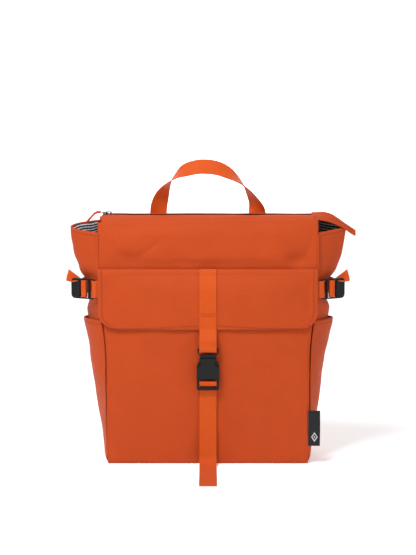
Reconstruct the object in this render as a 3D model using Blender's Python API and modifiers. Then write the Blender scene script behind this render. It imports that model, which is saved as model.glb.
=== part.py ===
"""A zip-top fabric backpack with a flap pocket, two side pockets, a webbing grab handle and shoulder straps.

The frame: +X to the wearer's left as the bag faces the viewer's right hand, +Y from the front to the back panel,
+Z up, with the origin at the middle of the base's underside. Lengths are in metres.

Every cloth panel is a flat grid moved to a surface and given its thickness, every webbing is a strip swept along
a smooth route, and every buckle is an outline with slots that is given its thickness.
"""

import math

import bmesh
import bpy
from mathutils import Matrix, Vector

# The bag's main sizes
HEIGHT = 0.358            # front panel's top edge above the base
BASE_HALF_WIDTH = 0.147   # half of the front panel's width at the base
TOP_FLARE = 0.014         # how much wider each side is at the top
FLARE_FROM = 0.150        # the sides start to flare here
FLARE_TO = 0.300          # and are at their full width here
BASE_DEPTH = 0.108        # front to back at the base
FRONT_LEAN = 0.030        # how far the front panel leans back at its top edge
BACK_LEAN = 0.028         # how far the back panel leans forward at its top edge
LEAN_POWER = 1.6
GUSSET_TOP_FRONT = HEIGHT - 0.020  # height of the gusset's hem at the front seam
GUSSET_TOP_BACK = HEIGHT - 0.005   # and at the back seam
GUSSET_BULGE_BASE = 0.005  # how far the gusset stands out of the seams at the base
GUSSET_BULGE_TOP = 0.039   # how much more it stands out at its hem
CINCH_HEIGHT = HEIGHT - 0.102  # middle of the side straps, which pull the gusset in
CINCH_DEPTH = 0.014
CINCH_REACH = 0.031

# Layers of cloth and foam
CLOTH = 0.0012
BACK_CLOTH = 0.0015
BASE_CLOTH = 0.0015
LINING = 0.0007
LINING_INSET = 0.005      # the lining's front and back stop this far short of the side seams
LINING_GAP = 0.0013       # the lining hangs this far inside the gussets
FOAM_INSET = 0.014
LINING_HEM = 0.004        # the lining's front and back stop this far below the panels' top edges
BOARD = 0.0020
FOAM = 0.0060
LAYER_GAP = 0.0005
SEAM_GAP = 0.0005
TOUCH_GAP = 0.0003

# Front pocket and its flap
POCKET_TOP = 0.252
POCKET_FULL_HEIGHT = 0.220  # the pocket is at its full depth above this
POCKET_DEPTH = 0.011
FLAP_HINGE_HEIGHT = 0.284
FLAP_HINGE_STANDOFF = 0.0055
FLAP_HEM = 0.200
FLAP_HALF_WIDTH = 0.160
FLAP_CORNER = 0.025
FLAP_CLOTH = 0.0022
FLAP_GAP = 0.0010
FLAP_BEND_FROM = 0.255    # above this the flap turns in towards its seam

# Side pockets
SIDE_POCKET_TOP = 0.210
SIDE_POCKET_DEPTH = 0.005
SIDE_POCKET_GAP = 0.0006

# Webbing
WEB_WIDTH = 0.025
WEB = 0.0014
WEB_REST = 0.0004         # a webbing's clearance to what it lies on

# Zip across the top
ZIP_HEIGHT = HEIGHT + 0.0030
ZIP_HALF_LENGTH = 0.156
ZIP_COIL_WIDTH = 0.0046
ZIP_COIL_HEIGHT = 0.0022
ZIP_TAPE_EDGE = 0.0115    # half of the tape's width
ZIP_TAPE = 0.0007
ZIP_GAP_HALF = 0.0060     # half of the slot between the two cloth strips
ZIP_STOP = 0.0030
SLIDER_LENGTH = 0.0110
SLIDER_WIDTH = 0.0085
SLIDER_PLATE = 0.0013
SLIDER_X = -0.1465
PULL_LENGTH = 0.0130
PULL_WIDTH = 0.0050
PULL_PLATE = 0.0012
PULL_RIBBON_WIDTH = 0.0060
PULL_RIBBON_THICKNESS = 0.0022
TAIL_LENGTH = 0.062
TAIL_CLOTH = 0.0022

# Side-release buckle of the front strap
BUCKLE_MOUTH = 0.159      # height of the socket's mouth
SOCKET_LENGTH = 0.047
SOCKET_SHELL_LENGTH = 0.030  # the part that holds the prongs; the ladder is below it
SOCKET_HALF_WIDTH = WEB_WIDTH / 2 + 0.0040
SOCKET_NECK = SOCKET_HALF_WIDTH - 0.0042
SOCKET_NOTCH = SOCKET_HALF_WIDTH - 0.0067
SOCKET_THICKNESS = 0.0100
SOCKET_WALL = 0.0023
LADDER_THICKNESS = 0.0036
PLUG_THICKNESS = 0.0052
PLUG_NECK = 0.0057        # from the socket's mouth to the plug's slot
PRONG_THICKNESS = 0.0046
PRONG_LENGTH = 0.0245
PRONG_INSIDE = SOCKET_HALF_WIDTH - 0.0089
PRONG_OUTSIDE = SOCKET_HALF_WIDTH - 0.0062
PRONG_PAD = SOCKET_HALF_WIDTH - 0.0009
CAVITY_HALF_WIDTH = SOCKET_HALF_WIDTH - 0.0057
SLOT_MARGIN = 0.0008      # a slot is this much wider than its webbing on each side
LADDER_END_BAR = 0.0060
LADDER_SLOT = 0.0046
LADDER_BAR = 0.0042
PLUG_LENGTH = PLUG_NECK + LADDER_SLOT + LADDER_BAR
LOOP_END = 0.0592         # the loop hands over to the straight runs this far below the socket's mouth

# Ladder locks on the side straps and the shoulder straps
LOCK_HALF_WIDTH = WEB_WIDTH / 2 + 0.0025
LOCK_PLATE = 0.0034
LOCK_END_BAR = 0.0040
LOCK_FIRST_SLOT = 0.0062
LOCK_FIRST_BAR = 0.0030
LOCK_SLOT = 0.0048
LOCK_BAR = 0.0046
LOCK_TAB = 0.0145
LOCK_CORNER = 0.0060
LOCK_ANGLE = math.radians(28.0)   # how far a side lock turns back from the front

# Handle
HANDLE_HALF_SPAN = 0.0745
HANDLE_RISE = 0.072
HANDLE_BASE = HEIGHT + 0.0020  # the legs bend about their sewn ends here
HANDLE_SEWN = 0.036

# Shoulder straps
PAD_WIDTH = 0.054
PAD_THICKNESS = 0.009
PAD_TOP = HEIGHT - 0.028
PAD_BOTTOM = 0.150
STRAP_TOP_X = 0.046
STRAP_BOTTOM_X = 0.128
STRAP_STANDOFF = 0.016    # the moving strap starts this far off the back panel
STRAP_BOW = 0.046         # and stands this far off it at the middle
TAB_HEIGHT = 0.030

# Sewn-in label
LABEL_WIDTH = 0.0165
LABEL_LOW = 0.027
LABEL_HIGH = 0.079
LABEL_THICKNESS = 0.0010

# Working sizes of the meshes
PANEL_COLUMNS = 8
PANEL_ROWS = 12
GUSSET_COLUMNS = 10


# ---------------------------------------------------------------- the bag's surfaces

def smooth(value, low, high):
    """0 below low, 1 above high, and a smooth step between them."""
    t = min(1.0, max(0.0, (value - low) / (high - low)))
    return t * t * (3.0 - 2.0 * t)


def mix(a, b, t):
    return a + (b - a) * t


def half_width(z):
    """Half of the front and back panels' width at height z."""
    return BASE_HALF_WIDTH + TOP_FLARE * smooth(z, FLARE_FROM, FLARE_TO)


def front_y(z):
    """The front panel's outer face."""
    return -BASE_DEPTH / 2 + FRONT_LEAN * max(0.0, z / HEIGHT) ** LEAN_POWER


def back_y(z):
    """The back panel's outer face."""
    return BASE_DEPTH / 2 - BACK_LEAN * max(0.0, z / HEIGHT) ** LEAN_POWER


def bulge(z):
    """How far the gusset's fold stands out of its seams: more towards the hem, less where the side strap cinches."""
    grown = GUSSET_BULGE_TOP * z / GUSSET_TOP_BACK
    return GUSSET_BULGE_BASE + grown - CINCH_DEPTH * math.exp(-(((z - CINCH_HEIGHT) / CINCH_REACH) ** 2))


def gusset_point(v, z, side, standoff=0.0):
    """A point of a gusset's outer face: v runs from its front seam, 0, to its back seam, 1."""
    sharpness = mix(2.0, 1.45, smooth(z, 0.0, GUSSET_TOP_FRONT))
    fold = 1.0 - abs(2.0 * v - 1.0) ** sharpness
    x = half_width(z) + (bulge(z) + standoff) * fold
    front = front_y(z) + CLOTH + SEAM_GAP
    back = back_y(z) - BACK_CLOTH - SEAM_GAP
    return Vector((side * x, mix(front, back, v), z))


def pocket_depth(x, z):
    """How far the front pocket's outer face stands off the front panel."""
    across = max(0.0, 1.0 - abs(x / BASE_HALF_WIDTH) ** 3)
    up = math.sin(math.pi / 2 * min(1.0, z / POCKET_FULL_HEIGHT))
    return TOUCH_GAP + CLOTH + POCKET_DEPTH * across * up


def pocket_y(x, z):
    return front_y(z) - pocket_depth(x, z)


def flap_inside_y(x, z):
    """The flap's inner face: it lies on the pocket, then turns in to its hinge seam."""
    turn = smooth(z, FLAP_BEND_FROM, FLAP_HINGE_HEIGHT)
    lying = pocket_y(x, z) - FLAP_GAP
    hinge = front_y(z) - FLAP_HINGE_STANDOFF
    return mix(lying, hinge, turn)


def base_floor():
    """Height at which the walls start: just above the base panel."""
    return BASE_CLOTH + SEAM_GAP


# ---------------------------------------------------------------- making objects

def clear_scene():
    for obj in list(bpy.data.objects):
        bpy.data.objects.remove(obj)


def new_material(name, colour, roughness, metallic=0.0):
    made = bpy.data.materials.new(name)
    made.use_nodes = True
    shader = made.node_tree.nodes["Principled BSDF"]
    shader.inputs["Base Color"].default_value = (*colour, 1.0)
    shader.inputs["Roughness"].default_value = roughness
    shader.inputs["Metallic"].default_value = metallic
    return made


def add_object(name, data, material, helper=False):
    obj = bpy.data.objects.new(name, data)
    (CUTTERS if helper else PARTS).objects.link(obj)
    if material:
        data.materials.append(material)
    return obj


def sheet(name, shape, columns, rows, thickness, material, depth=0.0):
    """A cloth panel. shape(u, v) gives its outer face, with u and v from 0 to 1; depth puts a lining below it."""
    mesh = bpy.data.meshes.new(name)
    grid = bmesh.new()
    bmesh.ops.create_grid(grid, x_segments=columns, y_segments=rows, size=0.5)
    for vertex in grid.verts:
        vertex.co = shape(vertex.co.x + 0.5, vertex.co.y + 0.5)
    grid.to_mesh(mesh)
    grid.free()
    obj = add_object(name, mesh, material)
    solid = obj.modifiers.new("thickness", "SOLIDIFY")
    solid.thickness = thickness
    solid.offset = -1.0 - 2.0 * depth / thickness
    solid.use_even_offset = True
    solid.use_quality_normals = True
    return obj


def curve_through(points, t):
    """A point of the smooth curve through the points, t from 0 to 1 (Catmull-Rom)."""
    spans = len(points) - 1
    at = min(t * spans, spans - 1e-6)
    i = int(at)
    f = at - i
    p1, p2 = points[i], points[i + 1]
    p0 = points[i - 1] if i > 0 else p1 * 2 - p2
    p3 = points[i + 2] if i + 2 <= spans else p2 * 2 - p1
    return 0.5 * (
        p1 * 2
        + (p2 - p0) * f
        + (p0 * 2 - p1 * 5 + p2 * 4 - p3) * f * f
        + (p1 * 3 - p0 - p2 * 3 + p3) * f * f * f
    )


def webbing(name, route, across, material, width=WEB_WIDTH, thickness=WEB, samples=None):
    """A flat webbing whose middle follows the route. across is its width direction, one for all or one a point."""
    route = [Vector(p) for p in route]
    sides = [Vector(a) for a in across] if isinstance(across, list) else [Vector(across)] * len(route)
    samples = samples or 3 * (len(route) - 1)

    def shape(u, v):
        side = curve_through(sides, v).normalized()
        return curve_through(route, v) + side * (u - 0.5) * width

    obj = sheet(name, shape, 1, samples, thickness, material)
    obj.modifiers["thickness"].offset = 0.0
    return obj


def round_edge(edge, way, half):
    """Points, as (along, out), of a webbing round a bar's edge from behind to the front. way is the edge's side."""
    clear = WEB / 2 + WEB_REST + 0.0001
    turn = 0.72 * clear
    return [
        (edge, -half - clear), (edge + way * turn, -half - turn), (edge + way * clear, -half * 0.6),
        (edge + way * clear, half * 0.6), (edge + way * turn, half + turn), (edge, half + clear),
    ]


def rounded(low_x, high_x, low_y, high_y, radius, steps=3):
    """A rectangle with round corners, as points, anticlockwise."""
    corners = (
        (high_x - radius, high_y - radius, 0.0),
        (low_x + radius, high_y - radius, 0.5 * math.pi),
        (low_x + radius, low_y + radius, math.pi),
        (high_x - radius, low_y + radius, 1.5 * math.pi),
    )
    points = []
    for x, y, start in corners:
        for i in range(steps + 1):
            angle = start + 0.5 * math.pi * i / steps
            points.append((x + radius * math.cos(angle), y + radius * math.sin(angle)))
    return points


def slot_outlines(starts, lengths):
    """Slots across a fitting for its webbing, each a little narrower than the one before."""
    outlines = []
    for i, (start, length) in enumerate(zip(starts, lengths)):
        half = WEB_WIDTH / 2 + SLOT_MARGIN - 0.0001 * i
        outlines.append(rounded(start, start + length, -half, half, 0.0006, 2))
    return outlines


def mirrored(points):
    """The points, then their mirror image across the length axis, as one closed outline."""
    return list(points) + [(x, -y) for x, y in reversed(points)]


def plate(name, outlines, thickness, placed, material, helper=False):
    """A flat outline, with the later outlines as holes, given a thickness about its middle plane."""
    data = bpy.data.curves.new(name, "CURVE")
    data.dimensions = "2D"
    data.fill_mode = "BOTH"
    data.extrude = thickness / 2
    for outline in outlines:
        spline = data.splines.new("POLY")
        spline.points.add(len(outline) - 1)
        for point, (x, y) in zip(spline.points, outline):
            point.co = (x, y, 0.0, 1.0)
        spline.use_cyclic_u = True
    obj = add_object(name, data, material, helper)
    obj.matrix_world = placed
    return obj


def as_mesh(obj, helper=False):
    """The same shape as a welded mesh, which a Boolean can read."""
    bpy.context.view_layer.update()
    evaluated = obj.evaluated_get(bpy.context.evaluated_depsgraph_get())
    mesh = bpy.data.meshes.new_from_object(evaluated)
    shape = bmesh.new()
    shape.from_mesh(mesh)
    bmesh.ops.remove_doubles(shape, verts=shape.verts, dist=1e-6)
    shape.to_mesh(mesh)
    shape.free()
    name, placed = obj.name, obj.matrix_world.copy()
    bpy.data.objects.remove(obj)
    made = bpy.data.objects.new(name, mesh)
    (CUTTERS if helper else PARTS).objects.link(made)
    made.matrix_world = placed
    if helper:
        hide(made)
    return made


def hide(obj):
    obj.hide_render = True
    obj.display_type = "WIRE"


def boolean(obj, other, operation):
    modifier = obj.modifiers.new(operation.lower(), "BOOLEAN")
    modifier.operation = operation
    modifier.object = other
    hide(other)


def box(name, low, high, material, bevel=0.0, helper=False):
    """A box between two corners, with its edges rounded if bevel is given."""
    low, high = Vector(low), Vector(high)
    mesh = bpy.data.meshes.new(name)
    shape = bmesh.new()
    bmesh.ops.create_cube(shape, size=1.0)
    for vertex in shape.verts:
        vertex.co = Vector([c * s for c, s in zip(vertex.co, high - low)])
    shape.to_mesh(mesh)
    shape.free()
    obj = add_object(name, mesh, material, helper)
    obj.location = (low + high) / 2
    if bevel:
        edge = obj.modifiers.new("edges", "BEVEL")
        edge.width = bevel
        edge.segments = 2
    if helper:
        hide(obj)
    return obj


def frame_of(origin, along, outward):
    """The matrix of a flat fitting: its length runs along, and its face looks outward."""
    along = Vector(along).normalized()
    outward = Vector(outward)
    outward = (outward - along * outward.dot(along)).normalized()
    across = outward.cross(along)
    placed = Matrix((along, across, outward)).transposed().to_4x4()
    placed.translation = Vector(origin)
    return placed


# ---------------------------------------------------------------- the bag's shell

def bag_wall(name, y_of, top, direction, inset, thickness, material, depth=0.0, columns=PANEL_COLUMNS):
    """A front or back wall of the bag. direction is 1 for the front, and -1 for the back, so that it faces out."""
    floor = base_floor()

    def shape(u, v):
        z = mix(floor, top, v)
        x = direction * (2.0 * u - 1.0) * (half_width(z) - inset)
        return Vector((x, y_of(z), z))

    return sheet(name, shape, columns, PANEL_ROWS, thickness, material, depth)


def gusset(name, side, low, top_drop, thickness, material, depth=0.0, inset=0.0):
    """A side panel between the front and back seams, folded outwards. side is 1 on the +X side."""

    def shape(u, v):
        across = u if side > 0 else 1.0 - u
        across = mix(inset, 1.0 - inset, across)
        hem = mix(GUSSET_TOP_FRONT, GUSSET_TOP_BACK, across) - top_drop
        return gusset_point(across, mix(low, hem, v), side)

    return sheet(name, shape, GUSSET_COLUMNS, PANEL_ROWS, thickness, material, depth)


def make_shell():
    box(
        "base_panel",
        (-BASE_HALF_WIDTH, -BASE_DEPTH / 2, 0.0),
        (BASE_HALF_WIDTH, BASE_DEPTH / 2, BASE_CLOTH),
        ORANGE_CLOTH,
    )
    bag_wall("front_panel", front_y, HEIGHT, 1, 0.0, CLOTH, ORANGE_CLOTH)
    bag_wall("back_panel", back_y, HEIGHT, -1, 0.0, BACK_CLOTH, BACK_MESH)
    gusset("gusset_left", -1, base_floor(), 0.0, CLOTH, ORANGE_CLOTH)
    gusset("gusset_right", 1, base_floor(), 0.0, CLOTH, ORANGE_CLOTH)


def make_inside():
    """Stiffener, back foam and striped lining, from the outside in."""
    board_low = BASE_CLOTH + LAYER_GAP
    board_high = board_low + BOARD
    front_inside = front_y(0.0) + CLOTH + LAYER_GAP
    back_inside = back_y(0.0) - BACK_CLOTH - FOAM - 2 * LAYER_GAP
    margin = FOAM_INSET
    box(
        "base_board",
        (-BASE_HALF_WIDTH + margin, front_inside + margin, board_low),
        (BASE_HALF_WIDTH - margin, back_inside - margin, board_high),
        BOARD_GREY,
    )
    lining_low = board_high + LAYER_GAP
    box(
        "lining_base",
        (-BASE_HALF_WIDTH + margin, front_inside + margin, lining_low),
        (BASE_HALF_WIDTH - margin, back_inside - margin, lining_low + LINING),
        STRIPED_LINING,
    )
    foam_depth = BACK_CLOTH + LAYER_GAP
    bag_wall("back_foam", back_y, HEIGHT - LINING_HEM, -1, FOAM_INSET, FOAM, FOAM_GREY, foam_depth)
    lining_depth = foam_depth + FOAM + LAYER_GAP
    top = HEIGHT - LINING_HEM
    bag_wall("lining_back", back_y, top, -1, FOAM_INSET, LINING, STRIPED_LINING, lining_depth)
    front_depth = CLOTH + LAYER_GAP
    bag_wall("lining_front", front_y, top, 1, LINING_INSET, LINING, STRIPED_LINING, front_depth)
    for name, side in (("lining_left", -1), ("lining_right", 1)):
        gusset(name, side, base_floor(), 0.001, LINING, STRIPED_LINING, CLOTH + LINING_GAP, 0.03)


def make_pocket():
    """The front pocket: one panel sewn to the front panel's sides and base, open at the top under the flap."""
    low = base_floor()

    def shape(u, v):
        z = mix(low, POCKET_TOP, v)
        x = (2.0 * u - 1.0) * (half_width(z) - SEAM_GAP)
        return Vector((x, pocket_y(x, z), z))

    sheet("pocket_panel", shape, 12, PANEL_ROWS, CLOTH, ORANGE_CLOTH)


def make_side_pocket(name, side):
    """A pocket on the lower part of a gusset, sewn in at both seams and at the base."""
    clearance = SIDE_POCKET_GAP + CLOTH

    def shape(u, v):
        across = mix(u if side > 0 else 1.0 - u, 0.5, 0.05)
        z = mix(base_floor() + SEAM_GAP, SIDE_POCKET_TOP, v)
        stand = SIDE_POCKET_DEPTH * smooth(z, 0.0, SIDE_POCKET_TOP)
        before, here, after = (gusset_point(across + step, z, side, stand) for step in (-0.01, 0.0, 0.01))
        run = (after - before).normalized()
        outward = Vector((side * run.y, -side * run.x, 0.0))
        return here + outward * clearance

    sheet(name, shape, GUSSET_COLUMNS, PANEL_ROWS, CLOTH, ORANGE_CLOTH)


def make_label():
    z_mid = (LABEL_LOW + LABEL_HIGH) / 2
    start = half_width(z_mid) + SEAM_GAP
    y = front_y(LABEL_LOW) - LABEL_THICKNESS
    box(
        "label",
        (start, y - LABEL_THICKNESS, LABEL_LOW),
        (start + LABEL_WIDTH, y, LABEL_HIGH),
        BLACK_RIBBON,
    )


# ---------------------------------------------------------------- the zip

def make_zip():
    """Two cloth strips, the two tapes under them, the coil, its stops, the slider and the pull."""
    inside = HEIGHT - SEAM_GAP

    def strip(side):
        wall = front_y(HEIGHT) + CLOTH if side < 0 else back_y(HEIGHT) - BACK_CLOTH
        start = wall - side * SEAM_GAP

        def shape(u, v):
            x = (2.0 * u - 1.0) * ZIP_HALF_LENGTH * -side
            t = v
            y = mix(start, side * ZIP_GAP_HALF, t)
            z = mix(inside, ZIP_HEIGHT + ZIP_TAPE + CLOTH + LAYER_GAP, smooth(t, -0.2, 1.0))
            return Vector((x, y, z))

        return shape

    sheet("zip_panel_front", strip(-1), PANEL_COLUMNS, 3, CLOTH, ORANGE_CLOTH)
    sheet("zip_panel_back", strip(1), PANEL_COLUMNS, 3, CLOTH, ORANGE_CLOTH)
    coil_half = ZIP_COIL_WIDTH / 2
    for name, side in (("zip_tape_front", -1), ("zip_tape_back", 1)):
        edges = sorted((side * (coil_half + TOUCH_GAP), side * ZIP_TAPE_EDGE))
        box(
            name,
            (-ZIP_HALF_LENGTH, edges[0], ZIP_HEIGHT - ZIP_TAPE / 2 - LAYER_GAP),
            (ZIP_HALF_LENGTH, edges[1], ZIP_HEIGHT + ZIP_TAPE / 2 - LAYER_GAP),
            ZIP_CLOTH,
        )
    coil_end = ZIP_HALF_LENGTH - ZIP_STOP - TOUCH_GAP
    box(
        "zip_coil",
        (-coil_end, -coil_half, ZIP_HEIGHT - ZIP_COIL_HEIGHT / 2),
        (coil_end, coil_half, ZIP_HEIGHT + ZIP_COIL_HEIGHT / 2),
        ZIP_COIL,
    )
    for name, side in (("zip_stop_left", -1), ("zip_stop_right", 1)):
        ends = sorted((side * (coil_end + TOUCH_GAP), side * (ZIP_HALF_LENGTH - TOUCH_GAP)))
        box(
            name,
            (ends[0], -coil_half, ZIP_HEIGHT - ZIP_COIL_HEIGHT / 2),
            (ends[1], coil_half, ZIP_HEIGHT + ZIP_COIL_HEIGHT / 2),
            METAL,
        )


def make_slider():
    """The slider's two plates ride above and below the coil, and the pull hangs from its bridge."""
    coil_top = ZIP_HEIGHT + ZIP_COIL_HEIGHT / 2 + TOUCH_GAP
    coil_low = ZIP_HEIGHT - ZIP_COIL_HEIGHT / 2 - TOUCH_GAP
    near, far = SLIDER_X - SLIDER_LENGTH / 2, SLIDER_X + SLIDER_LENGTH / 2
    half = SLIDER_WIDTH / 2
    top = box("zip_slider_top", (near, -half, coil_top), (far, half, coil_top + SLIDER_PLATE), METAL)
    bridge_low = coil_top + SLIDER_PLATE - 0.0003
    bridge_high = bridge_low + 0.0042
    bridge = box(
        "bridge",
        (near + 0.0012, -0.0013, bridge_low),
        (far - 0.0012, 0.0013, bridge_high),
        None,
        helper=True,
    )
    boolean(top, bridge, "UNION")
    eye = box(
        "bridge_eye",
        (near + 0.0028, -0.0030, coil_top + SLIDER_PLATE + 0.0002),
        (far - 0.0034, 0.0030, bridge_high - 0.0012),
        None,
        helper=True,
    )
    boolean(top, eye, "DIFFERENCE")
    box("zip_slider_bottom", (near, -half, coil_low - SLIDER_PLATE), (far, half, coil_low), METAL)
    make_pull(near + 0.0040, (coil_top + SLIDER_PLATE + 0.0002 + bridge_high - 0.0012) / 2)


def make_pull(pivot_x, pivot_z):
    """A flat ring through the bridge, and a folded ribbon tied to its far end that droops into the side opening."""
    half = PULL_WIDTH / 2
    ring = rounded(-PULL_LENGTH, 0.0009, -half, half, 0.0012)
    window = rounded(-0.0060, -0.0008, -half + 0.0010, half - 0.0010, 0.0005)
    eye = rounded(-PULL_LENGTH + 0.0012, -PULL_LENGTH + 0.0036, -half + 0.0010, half - 0.0010, 0.0005)
    lift = math.radians(8.0)
    placed = Matrix.Translation((pivot_x, 0.0, pivot_z)) @ Matrix.Rotation(lift, 4, "Y")
    plate("zip_pull_tab", [ring, window, eye], PULL_PLATE, placed, METAL)
    tip = placed @ Vector((-PULL_LENGTH - 0.0012, 0.0, 0.0))
    route = [
        tip,
        tip + Vector((-0.006, 0.0, -0.0010)),
        tip + Vector((-0.014, 0.0010, -0.0065)),
        tip + Vector((-0.021, 0.0015, -0.0125)),
    ]
    webbing(
        "zip_pull_ribbon", route, (0.0, 1.0, 0.0), ORANGE_WEB,
        width=PULL_RIBBON_WIDTH, thickness=PULL_RIBBON_THICKNESS, samples=6,
    )


def make_zip_tail():
    """The zip's free end: the two strips run on past the bag's side, narrow, and droop over the gusset."""
    start_x = ZIP_HALF_LENGTH + 0.0010
    start_half = 0.0165
    end_half = 0.0060
    top = ZIP_HEIGHT + CLOTH + LAYER_GAP

    def shape(u, v):
        half = mix(start_half, end_half, smooth(v, 0.0, 1.0))
        x = start_x + TAIL_LENGTH * v - 0.002 * v * v
        z = top + 0.006 * math.sin(math.pi * min(1.0, v / 0.65)) * (1.0 - v) - 0.031 * smooth(v, 0.22, 1.25)
        ridge = 0.006 * (1.0 - abs(2.0 * u - 1.0)) * smooth(v, 0.0, 0.4)
        return Vector((x, 0.001 + (2.0 * u - 1.0) * half, z + ridge))

    sheet("zip_tail", shape, 4, 10, TAIL_CLOTH, ORANGE_CLOTH)


# ---------------------------------------------------------------- the flap, its strap and buckle

def buckle_y():
    """The buckle's middle plane: the webbing behind its ladder clears the pocket where the pocket stands out most."""
    stack = max(SOCKET_THICKNESS / 2, LADDER_THICKNESS / 2 + 2 * (WEB_REST + WEB)) + WEB_REST
    return min(pocket_y(0.0, BUCKLE_MOUTH * i / 16) for i in range(1, 17)) - stack


def make_flap():
    """The flap hangs from its seam over the pocket, with its lower corners rounded off."""

    def shape(u, v):
        z = mix(FLAP_HEM, FLAP_HINGE_HEIGHT - 0.0006, v)
        above = max(0.0, FLAP_CORNER - (z - FLAP_HEM))
        corner = FLAP_CORNER - math.sqrt(max(0.0, FLAP_CORNER ** 2 - above ** 2))
        x = (2.0 * u - 1.0) * (FLAP_HALF_WIDTH - corner)
        return Vector((x, flap_inside_y(x, z) - FLAP_CLOTH, z))

    sheet("flap_panel", shape, 12, 14, FLAP_CLOTH, ORANGE_CLOTH)
    hinge_y = front_y(FLAP_HINGE_HEIGHT)
    box(
        "flap_seam",
        (-FLAP_HALF_WIDTH, hinge_y - FLAP_HINGE_STANDOFF - FLAP_CLOTH, FLAP_HINGE_HEIGHT + 0.0004),
        (FLAP_HALF_WIDTH, hinge_y - TOUCH_GAP, FLAP_HINGE_HEIGHT + 0.0024),
        ORANGE_CLOTH,
    )


def flap_front_y(z):
    return flap_inside_y(0.0, z) - FLAP_CLOTH


def make_flap_strap():
    """The webbing sewn down the flap, over the plug's bar and back up behind itself."""
    lie = WEB / 2 + WEB_REST + 0.0003
    plane = buckle_y()
    bar_low = BUCKLE_MOUTH + TOUCH_GAP + PLUG_LENGTH - LADDER_BAR
    out = PLUG_THICKNESS / 2 + WEB_REST + WEB / 2 + 0.0001
    route = []
    for i in range(14):
        z = mix(0.2815, 0.2010, i / 13)
        route.append((0.0, min(flap_front_y(z), flap_front_y(z - 0.003)) - lie, z))
    route += [(0.0, route[-1][1] - 0.0024, 0.1955), (0.0, plane - out - 0.0006, 0.186), (0.0, plane - out, 0.178)]
    route += [(0.0, plane - d, z) for z, d in reversed(round_edge(bar_low, -1, PLUG_THICKNESS / 2))]
    route += [(0.0, plane + out, 0.176), (0.0, plane + out - 0.0022, 0.184), (0.0, plane + out - 0.0040, 0.191)]
    webbing("flap_strap", route, (1.0, 0.0, 0.0), ORANGE_WEB)


def make_buckle():
    """A side-release buckle: the plug with two springy prongs above, the socket with its ladder below."""
    plane = buckle_y()
    placed = frame_of((0.0, plane, BUCKLE_MOUTH), (0.0, 0.0, -1.0), (0.0, -1.0, 0.0))
    half_slot = WEB_WIDTH / 2 + SLOT_MARGIN

    top = -PLUG_LENGTH - TOUCH_GAP
    ear = SOCKET_HALF_WIDTH - 0.0009
    plug = mirrored([
        (-TOUCH_GAP, ear - 0.0038),
        (0.0015 - PLUG_NECK, ear - 0.0044),
        (-0.0005 - PLUG_NECK, ear - 0.0014),
        (-0.0030 - PLUG_NECK, ear),
        (top + 0.0016, ear),
        (top, ear - 0.0014),
    ])
    slot_low = top + LADDER_BAR
    plug_slot = rounded(slot_low, slot_low + LADDER_SLOT, -half_slot, half_slot, 0.0008, 2)
    plate("buckle_plug", [plug, plug_slot], PLUG_THICKNESS, placed, BLACK_PLASTIC)

    for name, side in (("buckle_prong_right", 1), ("buckle_prong_left", -1)):
        prong = [
            (0.0, PRONG_INSIDE),
            (PRONG_LENGTH - 0.0005, PRONG_INSIDE + 0.0003),
            (PRONG_LENGTH, PRONG_OUTSIDE - 0.0010),
            (0.0101, PRONG_OUTSIDE),
            (0.0101, PRONG_PAD - 0.0002),
            (0.0097, PRONG_PAD),
            (0.0072, PRONG_PAD - 0.0007),
            (0.0042, PRONG_PAD - 0.0028),
            (0.0034, PRONG_OUTSIDE),
            (0.0, PRONG_OUTSIDE),
        ]
        outline = [(s, side * w) for s, w in prong]
        plate(name, [outline if side > 0 else outline[::-1]], PRONG_THICKNESS, placed, BLACK_PLASTIC)

    neck, notch = SOCKET_NECK, SOCKET_NOTCH
    shell = mirrored([
        (SOCKET_SHELL_LENGTH, SOCKET_HALF_WIDTH),
        (0.0124, SOCKET_HALF_WIDTH),
        (0.0116, SOCKET_HALF_WIDTH - 0.0006),
        (0.0113, notch + 0.0016),
        (0.0106, notch + 0.0007),
        (0.0078, notch + 0.0004),
        (0.0050, notch),
        (0.0032, notch + 0.0003),
        (0.0024, neck - 0.0007),
        (0.0016, neck),
        (0.0, neck),
    ])
    socket = plate("buckle_socket", [shell], SOCKET_THICKNESS, placed, BLACK_PLASTIC)
    socket = as_mesh(socket)
    ladder_half = SOCKET_HALF_WIDTH - 0.0003
    ladder_outline = rounded(SOCKET_SHELL_LENGTH - 0.003, SOCKET_LENGTH, -ladder_half, ladder_half, 0.0028)
    first_slot = SOCKET_SHELL_LENGTH + 0.0004
    second_slot = first_slot + LADDER_SLOT + LADDER_BAR - 0.0006
    slots = slot_outlines([first_slot, second_slot], [LADDER_SLOT, LADDER_SLOT])
    ladder = plate("ladder", [ladder_outline, *slots], LADDER_THICKNESS, placed, None, helper=True)
    ladder = as_mesh(ladder, helper=True)
    boolean(socket, ladder, "UNION")
    cavity_height = SOCKET_THICKNESS - 2 * SOCKET_WALL
    cavity = rounded(
        -0.002, SOCKET_SHELL_LENGTH - 0.0040, -CAVITY_HALF_WIDTH, CAVITY_HALF_WIDTH, 0.0004, 1
    )
    cavity = as_mesh(plate("cavity", [cavity], cavity_height, placed, None, helper=True), helper=True)
    boolean(socket, cavity, "DIFFERENCE")
    return placed, first_slot, second_slot


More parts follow.
